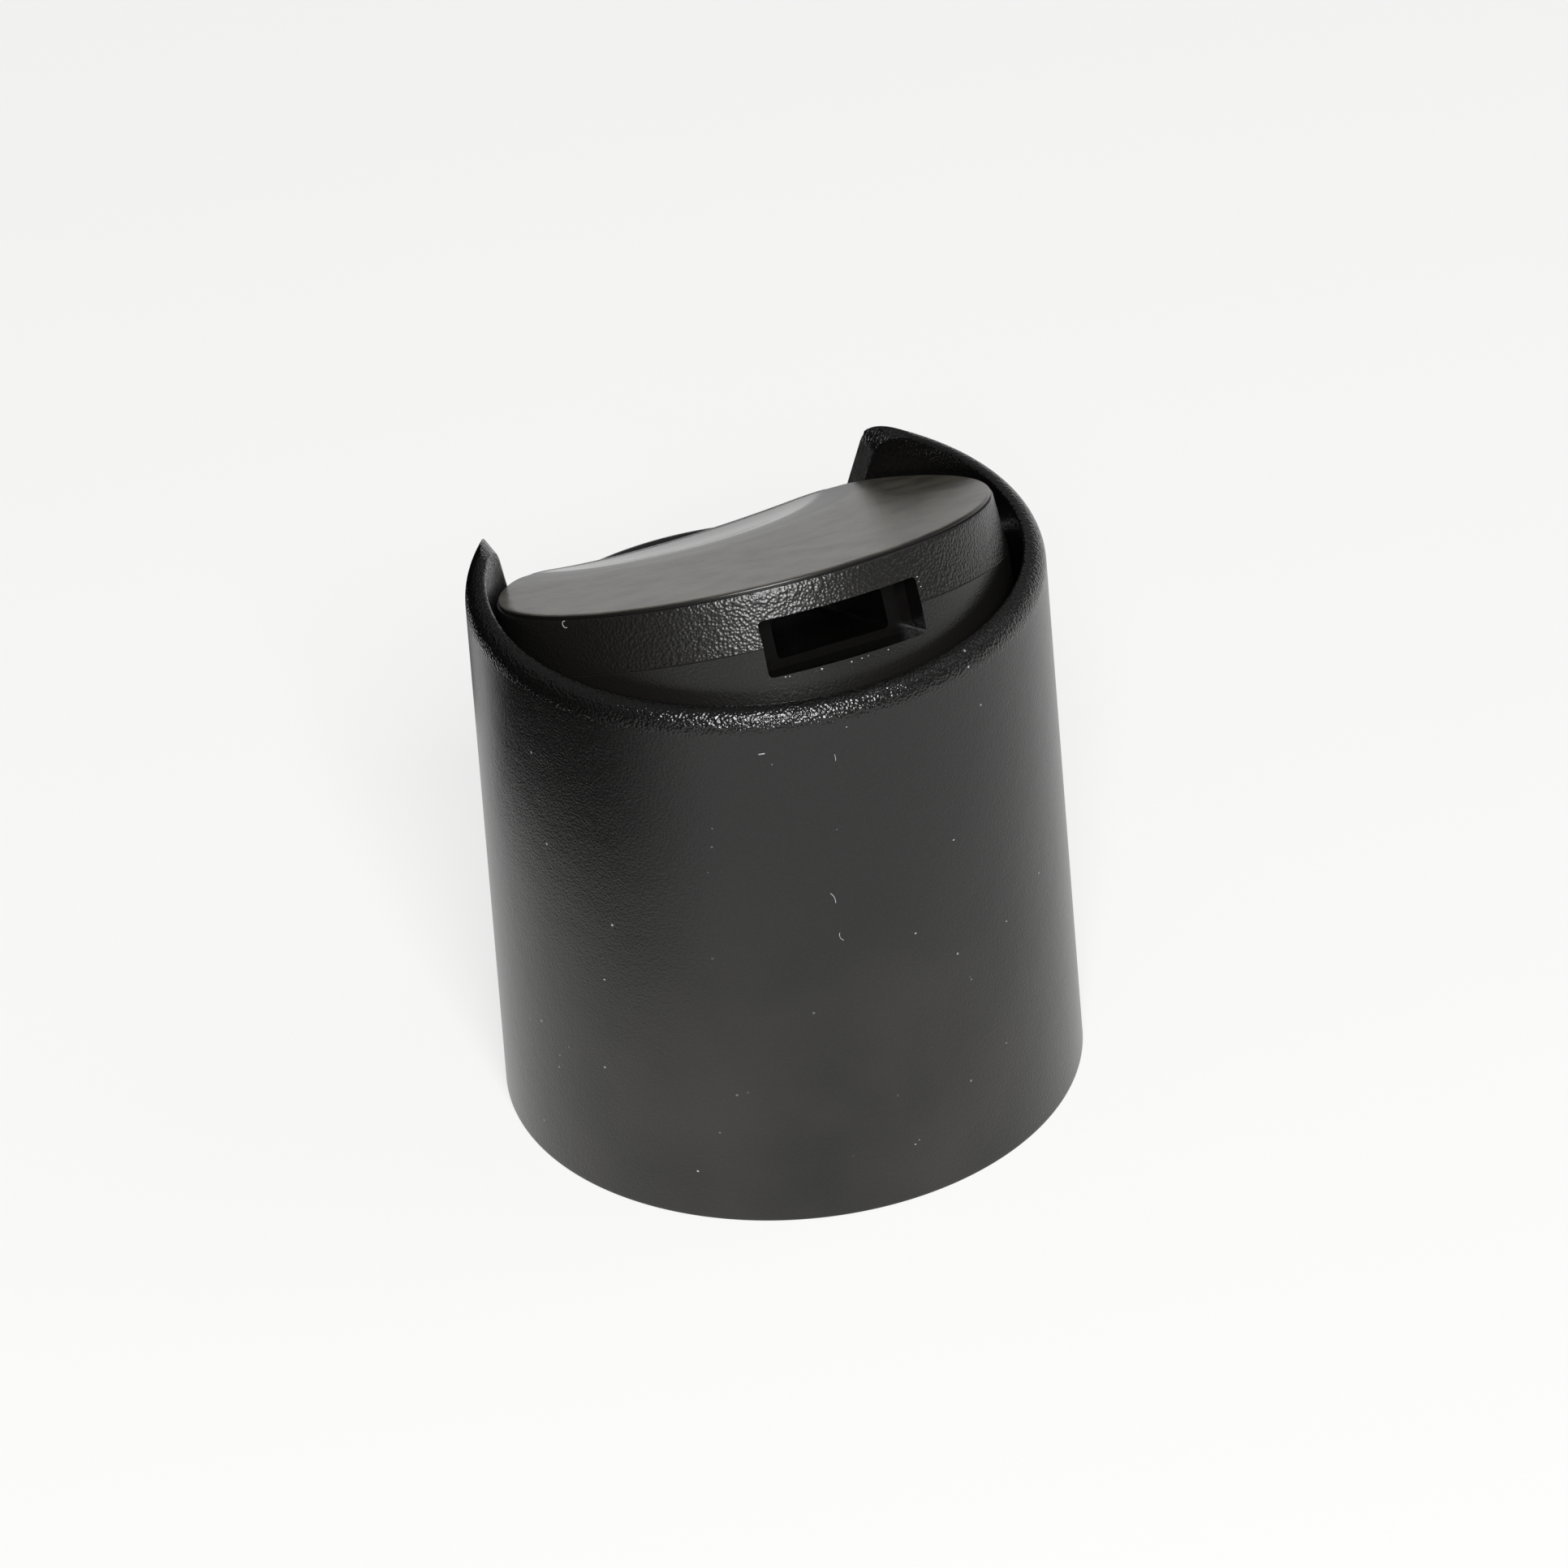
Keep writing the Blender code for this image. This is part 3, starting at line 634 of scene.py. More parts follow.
def disc_profile(disc, lay):
    """Section of the disc's shell: top edge with its groove and step, parting line, skirt and inside."""
    top, middle, foot = disc_radii(disc, lay)
    slope = (middle - top) / disc.pivot_depth

    def wall(depth):
        return top + slope * depth

    profile = [(0, 0), (4 * MM, 0), (8 * MM, 0), (10.6 * MM, 0), (11.3 * MM, 0)]
    profile += arc((wall(0) - STEP_OUT - DISC_EDGE, -DISC_EDGE), DISC_EDGE, 90, 4, EDGE_STEPS)
    groove = wall(STEP_DEPTH) - STEP_OUT - GROOVE_DEPTH
    profile += [(groove, -DISC_EDGE - GROOVE_LEAN), (groove, -STEP_DEPTH)]
    profile += [(wall(STEP_DEPTH) - STEP_LIP, -STEP_DEPTH - GROOVE_LEAN)]
    profile += [(wall(depth * MM), -depth * MM) for depth in (0.25, 0.5, 1.1, 1.9, 2.5)]
    seam_low = -disc.pivot_depth - SEAM
    profile += [(middle - HAIR, -disc.pivot_depth + SEAM), (middle - SEAM, -disc.pivot_depth)]
    profile += [(middle - SEAM_BACK, seam_low)]
    profile += between((middle - SEAM_BACK, seam_low), (foot, -disc.skirt + DISC_EDGE), 5)
    profile += arc((foot - DISC_EDGE, -disc.skirt + DISC_EDGE), DISC_EDGE, 0, -90, EDGE_STEPS)
    profile += [(foot - disc.wall, -disc.skirt)]
    profile += arc((top - disc.wall - FILLET, -disc.plate - FILLET), FILLET, 0, 90, EDGE_STEPS)
    profile += [(6 * MM, -disc.plate), (0, -disc.plate)]
    return profile


def disc_inside(disc, foot):
    """A plug as wide as the middle of the disc's skirt, which keeps what is carried inside it."""
    limit = foot - disc.wall / 2
    low = Matrix.Translation((0, 0, -20 * MM))
    return turned("disc inside", [(0, 0), (limit, 0), (limit, 30 * MM), (0, 30 * MM)], TURN_STEPS, low)


def dish_section(disc, drop):
    """Section of the thumb scoop from its outer end to its middle, moved down by this drop.

    The scoop is a shallow dish about the disc's rear edge. Its brow rolls off the flat top without a crease.
    """
    reach = disc.scoop_dish + disc.scoop_brow
    steepest = math.acos(1 - disc.scoop_depth / reach)
    outer = reach * math.sin(steepest)
    section = []
    for step in range(BROW_STEPS + 1):
        slope = RUN_OUT + (steepest - RUN_OUT) * step / BROW_STEPS
        radius = outer - disc.scoop_brow * math.sin(slope)
        section.append((radius, disc.scoop_brow * (math.cos(slope) - 1) - drop))
    for step in range(1, BROW_STEPS + 1):
        slope = steepest * (1 - step / BROW_STEPS)
        height = disc.scoop_dish * (1 - math.cos(slope)) - disc.scoop_depth - drop
        section.append((disc.scoop_dish * math.sin(slope), height))
    return section


def scoop_parts(disc, top, foot):
    """The dish that the thumb scoop leaves and the thickness of plate carried down below it."""
    rear = Matrix.Translation((0, top, 0))
    section = dish_section(disc, 0)
    first_radius, first_height = section[0]
    edge = (first_radius + (OVERLAP - first_height) / math.tan(RUN_OUT), OVERLAP)
    dish = turned("dish", [(0, PAST), (edge[0], PAST), edge, *section], SCOOP_STEPS, rear)
    middle = -disc.plate / 2
    lower = [point for point in dish_section(disc, disc.plate) if point[1] < middle - OVERLAP]
    backing = turned("backing", [(0, middle), (lower[0][0], middle), *lower], SCOOP_STEPS, rear)
    combine(backing, [(disc_inside(disc, foot), "INTERSECT")])
    return dish, backing


def spout_parts(disc, lay, top, middle, foot):
    """The spout's outside with its valve drum, and the tools that cut its mouth, duct and port."""
    plate_middle = -disc.plate / 2
    centre_z = -disc.orifice_drop - disc.orifice_height / 2
    mouth_half = disc.orifice_width / 2 + DUCT_WALL
    duct_half = DUCT_WIDTH / 2 + DUCT_WALL
    mouth_low = -disc.orifice_drop - disc.orifice_height - DUCT_WALL
    mouth_end = -middle + MOUTH_DEPTH + DUCT_WALL
    port_y = lay.pivot_y - DRUM_RADIUS * math.sin(BORE_ANGLE - disc.tilt)
    drum_front = lay.bore_y - PORT_LENGTH / 2 - COLLAR_WALL
    drum_rear = port_y + PORT_LENGTH / 2 + DUCT_WALL
    duct_low = centre_z - DUCT_HEIGHT / 2 - DUCT_WALL
    spout = block("spout", (-mouth_half, -middle, mouth_low), (mouth_half, mouth_end, plate_middle))
    duct = block("duct wall", (-duct_half, mouth_end - OVERLAP, duct_low), (duct_half, drum_rear, plate_middle))
    drum_low = -disc.pivot_depth - DRUM_RADIUS - OVERLAP
    drum = block("drum", (-duct_half, drum_front, drum_low), (duct_half, drum_rear, plate_middle))
    drum_centre = (0, lay.pivot_y, -disc.pivot_depth)
    combine(drum, [(rod("drum round", DRUM_RADIUS, 14 * MM, drum_centre, DRUM_STEPS), "INTERSECT")])
    combine(spout, [(duct, "UNION"), (drum, "UNION"), (disc_inside(disc, foot), "INTERSECT")])

    mouth_rear = -middle + MOUTH_DEPTH
    duct_rear = port_y + PORT_LENGTH / 2
    cuts = []
    for name, width, height, rear, depth in (
        ("mouth", disc.orifice_width, disc.orifice_height, mouth_rear, MOUTH_DEPTH + PAST),
        ("passage", DUCT_WIDTH, DUCT_HEIGHT, duct_rear, duct_rear - mouth_rear + OVERLAP),
    ):
        upright = Matrix.Translation((0, rear, centre_z)) @ Matrix.Rotation(math.pi / 2, 4, "X")
        cuts += [prism(name, rounded_box(width, height, disc.orifice_corner), depth, upright)]
    port_low = -disc.pivot_depth - DRUM_RADIUS - PAST
    port_top = centre_z - DUCT_HEIGHT / 2 + OVERLAP
    low = Matrix.Translation((0, port_y, port_low))
    cuts += [prism("port", stadium(PORT_WIDTH, PORT_LENGTH), port_top - port_low, low)]
    return spout, cuts


def build_disc(s, disc):
    """The pivoting disc, open as the body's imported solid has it."""
    lay = body_layout(s)
    top, middle, foot = disc_radii(disc, lay)
    shell = turned("pivoting_disc_moulding", disc_profile(disc, lay), TURN_STEPS)
    dish, backing = scoop_parts(disc, top, foot)
    spout, cuts = spout_parts(disc, lay, top, middle, foot)
    tools = [(backing, "UNION"), (spout, "UNION"), (dish, "DIFFERENCE")]
    tools += [(cut, "DIFFERENCE") for cut in cuts]
    wall_middle = middle - disc.wall / 2
    pin_length = pin_end(lay) - wall_middle
    for side, label in ((1, "right"), (-1, "left")):
        centre = (side * (wall_middle + pin_length / 2), lay.pivot_y, -disc.pivot_depth)
        pin = rod(f"{label} pin", disc.pin_radius, pin_length / 2, centre, PIN_STEPS, chamfer=PIN_CHAMFER)
        tools += [(pin, "UNION")]
    combine(shell, tools)

    # The faces of the spout's mouth, duct and port take the second material
    for face in shell.data.polygons:
        x, y, z = face.center
        across = abs(x) < disc.orifice_width / 2 + MERGE
        level = -MERGE < -disc.orifice_drop - z < disc.orifice_height + MERGE
        if across and level and y < 0 and math.hypot(x, y) < top - 3 * MERGE:
            face.material_index = 1
    shell.data.transform(disc_matrix(disc, lay))
    finish_mesh(shell)
    return shell


def fibre(bm, place, long, bend, thick):
    """Adds a bent fibre: a small disc spun through an arc that stands on its place's XY plane."""
    sweep = long / bend
    before = set(bm.verts)
    start = Matrix.Translation((bend, 0, thick / 2)) @ Matrix.Rotation(math.pi / 2, 4, "X")
    ring = bmesh.ops.create_circle(bm, cap_ends=True, segments=FIBRE_SIDES, radius=thick / 2, matrix=start)["verts"]
    end = ring[0].link_faces[0]
    spun(bm, [end, *end.edges, *end.verts], sweep, FIBRE_STEPS)
    centre = Matrix.Translation((-bend, 0, 0)) @ Matrix.Rotation(-sweep / 2, 4, "Z")
    grown = [vert for vert in bm.verts if vert not in before]
    bmesh.ops.transform(bm, matrix=place @ centre, verts=grown)


def speck(bm, place, size):
    """Adds a grain of dust, flattened on its place's XY plane."""
    shape = place @ Matrix.Diagonal((size / 2, size / 2.6, size / 4, 1))
    bmesh.ops.create_icosphere(bm, subdivisions=1, radius=1.0, matrix=shape)


def on_wall(azimuth, height, radius, lean, turn):
    """A place on a round wall: +Z out of it, +Y up it, turned about +Z; azimuth counts from -Y."""
    around = Matrix.Rotation(math.radians(azimuth), 4, "Z")
    out = Matrix.Translation((0, -radius, height)) @ Matrix.Rotation(math.pi / 2 - lean, 4, "X")
    return around @ out @ Matrix.Rotation(math.radians(turn), 4, "Z")


def build_body_lint(s):
    """Fibres and grains of dust that cling to the cap body's outer wall."""
    bm = bmesh.new()

    def wall(azimuth, height, turn=0.0):
        radius = s.base_radius - height * MM * math.tan(s.skirt_draft)
        return on_wall(azimuth, height * MM, radius, s.skirt_draft, turn)

    for azimuth, height, turn, long, bend, thick in BODY_FIBRES:
        fibre(bm, wall(azimuth, height, turn), long * MM, bend * MM, thick * MM)
    for azimuth, height, size in BODY_SPECKS:
        speck(bm, wall(azimuth, height), size * MM)
    bmesh.ops.recalc_face_normals(bm, faces=bm.faces)
    return object_of("cap_body_lint", bm)


def build_disc_lint(s, disc):
    """A fibre on the disc's band and the ragged crumbs of plastic along its orifice's edge."""
    lay = body_layout(s)
    top, middle, foot = disc_radii(disc, lay)
    bm = bmesh.new()

    def wall(azimuth, height, turn=0.0):
        depth = -height * MM
        if depth < disc.pivot_depth:
            radius, lean = top + (middle - top) * depth / disc.pivot_depth, -disc.draft
        else:
            share = (depth - disc.pivot_depth) / (disc.skirt - disc.pivot_depth)
            radius, lean = middle + (foot - middle) * share, disc.draft
        return on_wall(azimuth, -depth, radius, lean, turn)

    for azimuth, height, turn, long, bend, thick in DISC_FIBRES:
        fibre(bm, wall(azimuth, height, turn), long * MM, bend * MM, thick * MM)
    for azimuth, height, size in DISC_CRUMBS:
        speck(bm, wall(azimuth, height), size * MM)
    bmesh.ops.recalc_face_normals(bm, faces=bm.faces)
    return object_of("pivoting_disc_lint", bm, disc_matrix(disc, lay))


def add_node(tree, kind, inputs, **settings):
    """Adds a node with its settings, and gives each input a value, or a link where it gets a socket."""
    node = tree.nodes.new(kind)
    for key, value in settings.items():
        setattr(node, key, value)
    for key, value in inputs.items():
        if isinstance(value, bpy.types.NodeSocket):
            tree.links.new(value, node.inputs[key])
        else:
            node.inputs[key].default_value = value
    return node


def new_material(name):
    """A material with only a Principled surface and its output."""
    material = bpy.data.materials.new(name)
    material.use_nodes = True
    return material, material.node_tree, material.node_tree.nodes["Principled BSDF"]


def lay_relief(tree, shader, layers):
    """Lays relief over relief, each a height from 0 to 1, a strength and its full depth in metres."""
    below = {}
    for height, strength, depth in layers:
        inputs = {"Height": height, "Strength": strength, "Distance": depth, **below}
        below = {"Normal": add_node(tree, "ShaderNodeBump", inputs).outputs["Normal"]}
    tree.links.new(below["Normal"], shader.inputs["Normal"])


def body_material(colours, s):
    """Black polypropylene, moulded against spark-eroded steel.

    The wall has a fine grain that blurs what it mirrors, and the rim a coarser one that glitters under a lamp.
    """
    material, tree, shader = new_material("black polypropylene, moulded, spark-eroded texture")
    place = add_node(tree, "ShaderNodeTexCoord", {}).outputs["Object"]
    height = add_node(tree, "ShaderNodeSeparateXYZ", {0: place}).outputs["Z"]
    rim_low = s.cap_height - s.rim_drop

    # Sizes in millimetres: clouds that break up the painted reflection low on the wall, patches where dust gathers, a
    # ripple from the plastic's shrinkage, and grit and craters. Spark craters are 0.03 to 0.05 mm wide and grit lies
    # in them, and both are drawn at 0.12 to 0.14 mm, because finer ones don't show
    lumps = {}
    for name, size in (("clouds", 7.0), ("patches", 3.0), ("ripple", 1.6), ("grit", 0.13), ("craters", 0.12)):
        inputs = {"Vector": place, "Scale": 1 / (size * MM), "Detail": 2.0}
        lumps[name] = add_node(tree, "ShaderNodeTexNoise", inputs).outputs[0]
    inputs = {"Vector": place, "Scale": 1 / (0.14 * MM), "Smoothness": CRATER_SMOOTHNESS}
    rim_craters = add_node(tree, "ShaderNodeTexVoronoi", inputs, feature="SMOOTH_F1").outputs["Distance"]
    inputs = {"Vector": place, "Scale": 1 / (0.9 * MM)}
    from_speck = add_node(tree, "ShaderNodeTexVoronoi", inputs).outputs["Distance"]

    # Masks, each rising smoothly to its top as its value goes from the first number to the second
    masks = {}
    for name, value, first, second, top in (
        ("rim", height, rim_low - 0.4 * MM, rim_low + 0.3 * MM, 1.0),
        ("low down", height, 24 * MM, 2 * MM, 1.0),
        ("cloudy", lumps["clouds"], 0.1, 0.9, 1.0),
        ("gritty", lumps["grit"], 0.4, 0.8, 0.2),
        ("dust gathers", lumps["patches"], 0.56, 0.64, 1.0),
        ("speck", from_speck, 0.09, 0.05, 1.0),
    ):
        inputs = {"Value": value, "From Min": first, "From Max": second, "To Max": top}
        masks[name] = add_node(tree, "ShaderNodeMapRange", inputs, **SMOOTH).outputs[0]
    for name, operation, first, second in (
        ("painted_sheen", "MULTIPLY", "cloudy", "low down"),
        ("grit_with_painted_light", "ADD", "gritty", "painted_sheen"),
        ("dust", "MULTIPLY", "speck", "dust gathers"),
    ):
        inputs = {0: masks[first], 1: masks[second]}
        masks[name] = add_node(tree, "ShaderNodeMath", inputs, operation=operation).outputs[0]

    # Grit makes the wall paler in random spots, a painted reflection of the pale floor lightens the lower wall in
    # clouds, and stray specks of dust about 0.1 mm across lie on it
    tone = colours.body
    for mask, over in (("grit_with_painted_light", colours.body_grit_and_painted_light), ("dust", colours.dust)):
        inputs = {0: masks[mask], 6: tone, 7: over}
        tone = add_node(tree, "ShaderNodeMix", inputs, data_type="RGBA").outputs[2]
    tree.links.new(tone, shader.inputs["Base Color"])

    rim_grain = add_node(tree, "ShaderNodeMath", {0: masks["rim"], 1: RIM_GRAIN}, operation="MULTIPLY").outputs[0]
    layers = (
        (lumps["ripple"], 0.3, 0.06 * MM),
        (lumps["craters"], WALL_GRAIN, 0.04 * MM),
        (rim_craters, rim_grain, 0.052 * MM),
    )
    lay_relief(tree, shader, layers)
    inputs = {"Value": masks["rim"], "To Min": BODY_ROUGHNESS, "To Max": RIM_ROUGHNESS}
    gloss = add_node(tree, "ShaderNodeMapRange", inputs).outputs[0]
    tree.links.new(gloss, shader.inputs["Roughness"])
    shader.inputs["IOR"].default_value = POLYPROPYLENE_IOR
    return material


def disc_material(colours, s, disc):
    """Black polypropylene, moulded: a satin top, a coarse spark-eroded band, a finer foot and a smooth inside.

    The top is painted paler, a painted reflection of the room at its grazing view, and it also mirrors the room
    softly; the inside is painted darker as shade, and the band glitters.
    """
    lay = body_layout(s)
    top = disc_radii(disc, lay)[0]
    material, tree, shader = new_material("black polypropylene, moulded, satin top and spark-eroded band")
    place = add_node(tree, "ShaderNodeTexCoord", {}).outputs["Object"]
    inputs = {"Vector": place, "Location": (0, lay.pivot_y, lay.pivot_z), "Rotation": (-disc.tilt, 0, 0)}
    level = add_node(tree, "ShaderNodeMapping", inputs, vector_type="TEXTURE").outputs[0]
    inputs = {0: level, 1: (0, lay.pivot_y, -disc.pivot_depth)}
    centred = add_node(tree, "ShaderNodeVectorMath", inputs, operation="ADD").outputs[0]
    height = add_node(tree, "ShaderNodeSeparateXYZ", {0: centred}).outputs["Z"]
    flat = add_node(tree, "ShaderNodeVectorMath", {0: centred, 1: (1, 1, 0)}, operation="MULTIPLY").outputs[0]
    radius = add_node(tree, "ShaderNodeVectorMath", {0: flat}, operation="LENGTH").outputs["Value"]

    # Sizes in millimetres, detail and roughness: clouds that make the top's painted reflection uneven, a wave from the
    # plastic's shrinkage, and the mottle of fine scuffs. Craters, really 0.03 to 0.05 mm wide, and scuffs are drawn
    # coarser, because finer ones don't show
    lumps = {}
    for name, size, detail, roughness in (
        ("clouds", 2.2, 5.0, 0.6),
        ("wave", 2.5, 1.0, 0.5),
        ("mottle", 0.28, 2.0, 0.5),
        ("foot craters", 0.13, 1.0, 0.5),
    ):
        inputs = {"Vector": centred, "Scale": 1 / (size * MM), "Detail": detail, "Roughness": roughness}
        lumps[name] = add_node(tree, "ShaderNodeTexNoise", inputs).outputs[0]
    inputs = {"Vector": centred, "Scale": 1 / (0.15 * MM), "Smoothness": CRATER_SMOOTHNESS}
    craters = add_node(tree, "ShaderNodeTexVoronoi", inputs, feature="SMOOTH_F1").outputs["Distance"]

    # Masks of the disc's regions, each rising smoothly as its value goes from the first number to the second
    inner, outer, seam = top - 0.5 * MM, top - 0.35 * MM, -disc.pivot_depth
    masks = {}
    for name, value, first, second in (
        ("outside", radius, inner, outer),
        ("within", radius, outer, inner),
        ("below edge", height, -0.2 * MM, -0.3 * MM),
        ("above seam", height, seam, seam + 0.1 * MM),
        ("below seam", height, seam + 0.1 * MM, seam),
        ("face", height, -0.06 * MM, -0.02 * MM),
        ("cloudy", lumps["clouds"], 0.1, 0.65),
    ):
        inputs = {"Value": value, "From Min": first, "From Max": second}
        masks[name] = add_node(tree, "ShaderNodeMapRange", inputs, **SMOOTH).outputs[0]
    for name, first, second in (
        ("wall", "outside", "below edge"),
        ("band", "wall", "above seam"),
        ("foot", "outside", "below seam"),
        ("inside", "within", "below edge"),
        ("painted_sheen", "face", "cloudy"),
    ):
        inputs = {0: masks[first], 1: masks[second]}
        masks[name] = add_node(tree, "ShaderNodeMath", inputs, operation="MULTIPLY").outputs[0]

    # The top face takes a painted reflection, uneven in clouds, and the inside takes the spout's colour as painted
    # shade
    tone = colours.disc
    for mask, over in (("painted_sheen", colours.disc_painted_reflection), ("inside", colours.spout)):
        inputs = {0: masks[mask], 6: tone, 7: over}
        tone = add_node(tree, "ShaderNodeMix", inputs, data_type="RGBA").outputs[2]
    tree.links.new(tone, shader.inputs["Base Color"])

    layers = []
    for mask, strength, relief, depth in (
        ("face", 0.6, lumps["wave"], 0.05),
        ("face", 0.6, lumps["mottle"], 0.02),
        ("band", BAND_GRAIN, craters, 0.05),
        ("foot", 0.5, lumps["foot craters"], 0.03),
    ):
        here = add_node(tree, "ShaderNodeMath", {0: masks[mask], 1: strength}, operation="MULTIPLY").outputs[0]
        layers.append((relief, here, depth * MM))
    lay_relief(tree, shader, layers)
    inputs = {"Value": masks["inside"], "To Min": DISC_ROUGHNESS, "To Max": SPOUT_ROUGHNESS}
    gloss = add_node(tree, "ShaderNodeMapRange", inputs).outputs[0]
    tree.links.new(gloss, shader.inputs["Roughness"])
    shader.inputs["IOR"].default_value = POLYPROPYLENE_IOR
    return material


def spout_material(colours):
    """Black polypropylene against a polished core pin: smooth, near black, with a little flow rippling.

    Light that enters the spout is lost in it, and its gloss is turned down as painted shade for that.
    """
    material, tree, shader = new_material("black polypropylene, moulded, polished core")
    place = add_node(tree, "ShaderNodeTexCoord", {}).outputs["Object"]
    flow = add_node(tree, "ShaderNodeTexNoise", {"Vector": place, "Scale": 1 / (0.7 * MM), "Detail": 3.0}).outputs[0]
    tone = add_node(tree, "ShaderNodeMix", {0: flow, 6: colours.spout, 7: colours.body}, data_type="RGBA")
    tree.links.new(tone.outputs[2], shader.inputs["Base Color"])
    lay_relief(tree, shader, [(flow, 0.5, 0.05 * MM)])
    shader.inputs["Roughness"].default_value = SPOUT_ROUGHNESS
    shader.inputs["IOR"].default_value = POLYPROPYLENE_IOR
    shader.inputs["Specular IOR Level"].default_value = 0.2
    return material


def lint_material(colours):
    """Paper and cotton dust: pale, matt and a little uneven along its length."""
    material, tree, shader = new_material("cotton lint")
    place = add_node(tree, "ShaderNodeTexCoord", {}).outputs["Object"]
    clumps = add_node(tree, "ShaderNodeTexNoise", {"Vector": place, "Scale": 1 / (0.15 * MM), "Detail": 2.0})
    inputs = {"Value": clumps.outputs[0], "From Min": 0.3, "From Max": 0.7}
    uneven = add_node(tree, "ShaderNodeMapRange", inputs, **SMOOTH)
    inputs = {0: uneven.outputs[0], 6: colours.dust, 7: colours.lint}
    tone = add_node(tree, "ShaderNodeMix", inputs, data_type="RGBA")
    tree.links.new(tone.outputs[2], shader.inputs["Base Color"])
    shader.inputs["Roughness"].default_value = LINT_ROUGHNESS
    shader.inputs["Sheen Weight"].default_value = 0.3
    return material


def soft_light(name, energy, camera_azimuth, lamp):
    """A square area light round the cap, its azimuth measured from the camera's towards the right."""
    turn, height, size, distance = lamp
    azimuth, elevation = camera_azimuth + math.radians(turn), math.radians(height)
    data = bpy.data.lights.new(name, "AREA")
    data.energy = energy
    data.shape = "SQUARE"
    data.size = size
    light = bpy.data.objects.new(name, data)
    bpy.context.scene.collection.objects.link(light)
    direction = Vector((
        math.sin(azimuth) * math.cos(elevation),
        -math.cos(azimuth) * math.cos(elevation),
        math.sin(elevation),
    ))
    light.location = Vector(LAMPS_AIM) + direction * distance
    light.rotation_euler = (-direction).to_track_quat("-Z", "Y").to_euler()


def curved_card(name, radius, levels, start, sweep):
    """A card that stands round the cap between two levels, from an azimuth that counts from -Y to the right."""
    bm = bmesh.new()
    place = Vector((math.sin(start), -math.cos(start), 0)) * radius
    verts = [bm.verts.new(place + Vector((0, 0, level))) for level in levels]
    spun(bm, [*verts, bm.edges.new(verts)], sweep, FLAG_STEPS)
    return object_of(name, bm)


def floor_material(share):
    """Matt white paper sweep: even and pale, with the cap's soft shadow on it.

    The camera and the cap's gloss see this share of plain white in it, as a lit backdrop would give.
    """
    material, tree, shader = new_material("matt white paper sweep")
    shader.inputs["Base Color"].default_value = linear("#efeeec")
    shader.inputs["Roughness"].default_value = 0.9
    path = add_node(tree, "ShaderNodeLightPath", {}).outputs
    seen = path["Is Camera Ray"]
    for kind in ("Is Glossy Ray", "Is Transmission Ray"):
        seen = add_node(tree, "ShaderNodeMath", {0: seen, 1: path[kind]}, operation="MAXIMUM").outputs[0]
    shown = add_node(tree, "ShaderNodeMath", {0: seen, 1: share}, operation="MULTIPLY")
    white = add_node(tree, "ShaderNodeEmission", {"Color": (1, 1, 1, 1), "Strength": 1.0})
    mix = add_node(tree, "ShaderNodeMixShader", {0: shown.outputs[0], 1: shader.outputs[0], 2: white.outputs[0]})
    tree.links.new(mix.outputs[0], tree.nodes["Material Output"].inputs["Surface"])
    return material


def flag_material():
    """Black flock paper: it mirrors nothing, and thins out towards the camera so that its edge stays soft."""
    material, tree, shader = new_material("black flock paper")
    place = add_node(tree, "ShaderNodeTexCoord", {}).outputs["Object"]
    shader.inputs["Base Color"].default_value = linear("#0a0a0a")
    shader.inputs["Roughness"].default_value = 1.0
    shader.inputs["Specular IOR Level"].default_value = 0.0
    across = add_node(tree, "ShaderNodeSeparateXYZ", {0: place}).outputs["Y"]
    inputs = {"Value": across, "From Min": -34 * MM, "From Max": -6 * MM}
    solid = add_node(tree, "ShaderNodeMapRange", inputs, **SMOOTH)
    tree.links.new(solid.outputs[0], shader.inputs["Alpha"])
    return material


class DISCCAP_OT_body(bpy.types.Operator):
    """Model the cap body"""

    bl_idname = "disccap.body"
    bl_label = "Cap body"

    def execute(self, context):
        scene = context.scene
        body = build_body(scene.cap_body_sizes, scene.cap_disc_sizes)
        body.data.materials.append(body_material(scene.cap_colours, scene.cap_body_sizes))
        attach(body, "body")
        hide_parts("cap_body")
        return {"FINISHED"}


class DISCCAP_OT_disc(bpy.types.Operator):
    """Model the pivoting disc, shown open"""

    bl_idname = "disccap.disc"
    bl_label = "Pivoting disc"

    def execute(self, context):
        scene = context.scene
        disc = build_disc(scene.cap_body_sizes, scene.cap_disc_sizes)
        disc.data.materials.append(disc_material(scene.cap_colours, scene.cap_body_sizes, scene.cap_disc_sizes))
        disc.data.materials.append(spout_material(scene.cap_colours))
        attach(disc, "disc")
        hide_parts("pivoting_disc")
        return {"FINISHED"}


class DISCCAP_OT_lint(bpy.types.Operator):
    """Model the dust fibres and crumbs on both mouldings"""

    bl_idname = "disccap.lint"
    bl_label = "Lint"

    def execute(self, context):
        scene = context.scene
        material = lint_material(scene.cap_colours)
        body_lint = build_body_lint(scene.cap_body_sizes)
        disc_lint = build_disc_lint(scene.cap_body_sizes, scene.cap_disc_sizes)
        for piece, carrier, slot in ((body_lint, "body", "cap_body"), (disc_lint, "disc", "pivoting_disc")):
            piece.data.materials.append(material)
            piece.data.shade_smooth()
            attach(piece, carrier)
        return {"FINISHED"}


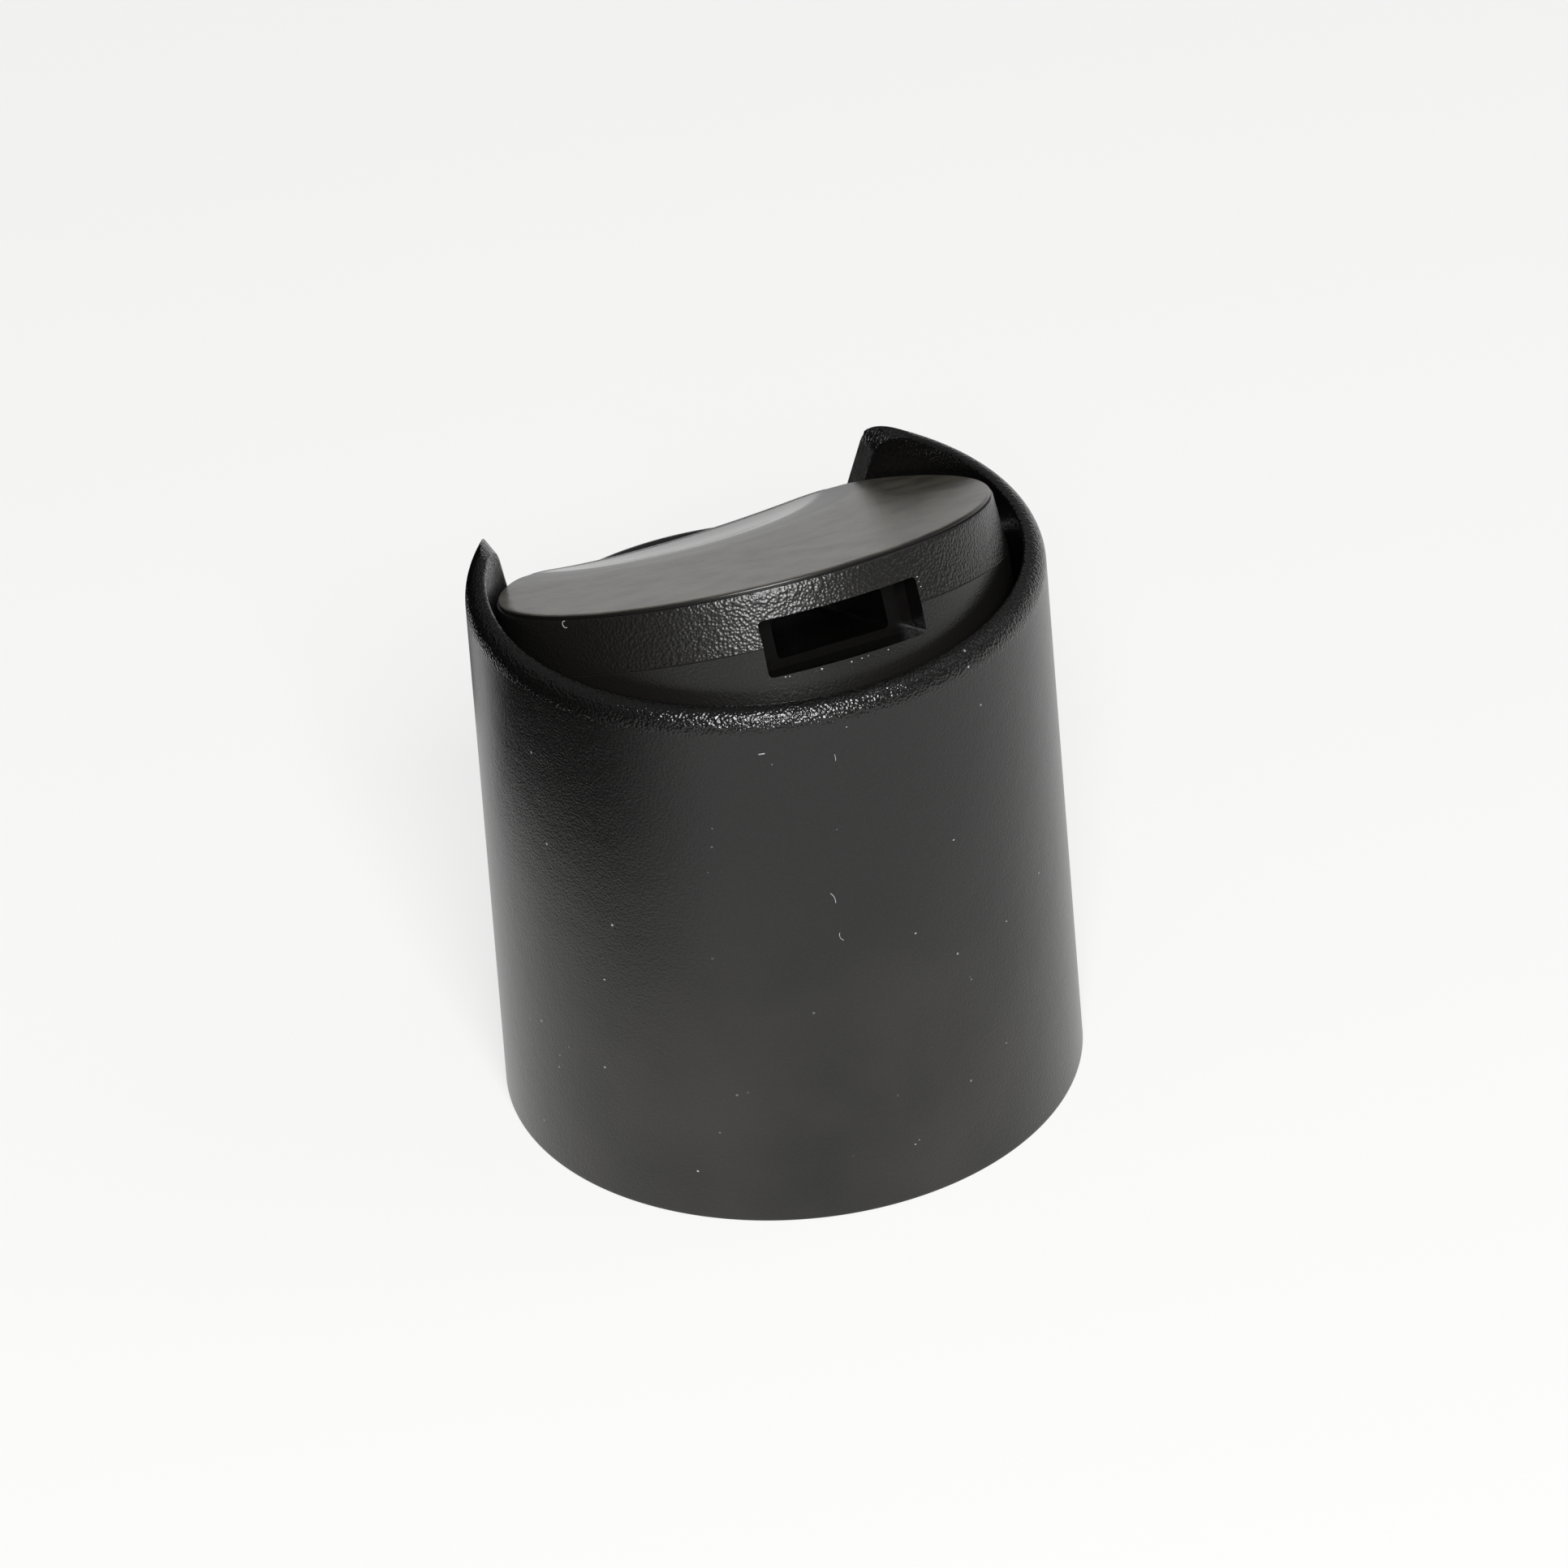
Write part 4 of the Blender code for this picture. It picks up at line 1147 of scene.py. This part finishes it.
class DISCCAP_OT_stage(bpy.types.Operator):
    """Set up the pale floor, the soft lights and the camera"""

    bl_idname = "disccap.stage"
    bl_label = "Stage"

    def execute(self, context):
        studio = context.scene.cap_studio
        azimuth = studio.camera_azimuth
        bm = bmesh.new()
        bmesh.ops.create_grid(bm, x_segments=1, y_segments=1, size=FLOOR_SIZE)
        floor = object_of("studio_floor", bm)
        floor.data.materials.append(floor_material(studio.floor_share))

        world = bpy.data.worlds.new("white studio")
        context.scene.world = world
        world.use_nodes = True
        background = world.node_tree.nodes["Background"]
        background.inputs["Color"].default_value = (1, 1, 1, 1)
        background.inputs["Strength"].default_value = studio.fill

        # Black cards stand round the cap's left side, as studio flags do, and only gloss sees them: they paint a dark
        # reflection on the cap's left side
        material = flag_material()
        for name, (start, end, low) in FLAGS.items():
            levels = (low * MM, studio.flag_height)
            turn, sweep = azimuth + math.radians(start), math.radians(end - start)
            flag = curved_card(name, studio.flag_distance, levels, turn, sweep)
            flag.data.materials.append(material)
            flag.visible_camera = flag.visible_diffuse = flag.visible_shadow = False

        soft_light("key", studio.key_energy, azimuth, KEY_LAMP)
        soft_light("side", studio.side_energy, azimuth, SIDE_LAMP)

        camera_data = bpy.data.cameras.new("camera")
        camera_data.sensor_width = SENSOR_WIDTH
        camera_data.lens = studio.focal_length
        camera_data.clip_start = 0.01
        camera = bpy.data.objects.new("camera", camera_data)
        context.scene.collection.objects.link(camera)
        turn = Matrix.Rotation(azimuth, 4, "Z")
        tip = Matrix.Rotation(math.pi / 2 - studio.camera_elevation, 4, "X")
        roll = Matrix.Rotation(studio.camera_roll, 4, "Z")
        camera.matrix_world = Matrix.Translation(CAMERA_PLACE) @ turn @ tip @ roll
        context.scene.camera = camera
        context.scene.view_settings.view_transform = "Standard"
        return {"FINISHED"}


class DISCCAP_PT_panel(bpy.types.Panel):
    """Lists the cap's pieces"""

    bl_label = "Disc cap"
    bl_idname = "DISCCAP_PT_panel"
    bl_space_type = "VIEW_3D"
    bl_region_type = "UI"
    bl_category = "Disc cap"

    def draw(self, context):
        for operator in OPERATORS:
            self.layout.operator(operator.bl_idname)
        for name in GROUPS:
            box = self.layout.box()
            group = getattr(context.scene, name)
            for key in group.__annotations__:
                box.prop(group, key)


OPERATORS = (DISCCAP_OT_body, DISCCAP_OT_disc, DISCCAP_OT_lint, DISCCAP_OT_stage)
GROUPS = {
    "cap_body_sizes": BodySizes,
    "cap_disc_sizes": DiscSizes,
    "cap_colours": CapColours,
    "cap_studio": StudioSettings,
}


def register():
    """Registers the classes and hangs their settings on the scene."""
    for cls in (*GROUPS.values(), *OPERATORS, DISCCAP_PT_panel):
        bpy.utils.register_class(cls)
    for name, group in GROUPS.items():
        setattr(bpy.types.Scene, name, bpy.props.PointerProperty(type=group))


def unregister():
    """Takes the settings and the classes off again."""
    for name in GROUPS:
        delattr(bpy.types.Scene, name)
    for cls in reversed((*GROUPS.values(), *OPERATORS, DISCCAP_PT_panel)):
        bpy.utils.unregister_class(cls)


def main():
    """Makes every piece and the stage."""
    register()
    bpy.ops.disccap.body()
    bpy.ops.disccap.disc()
    bpy.ops.disccap.lint()
    bpy.ops.disccap.stage()


if __name__ == "__main__":
    main()
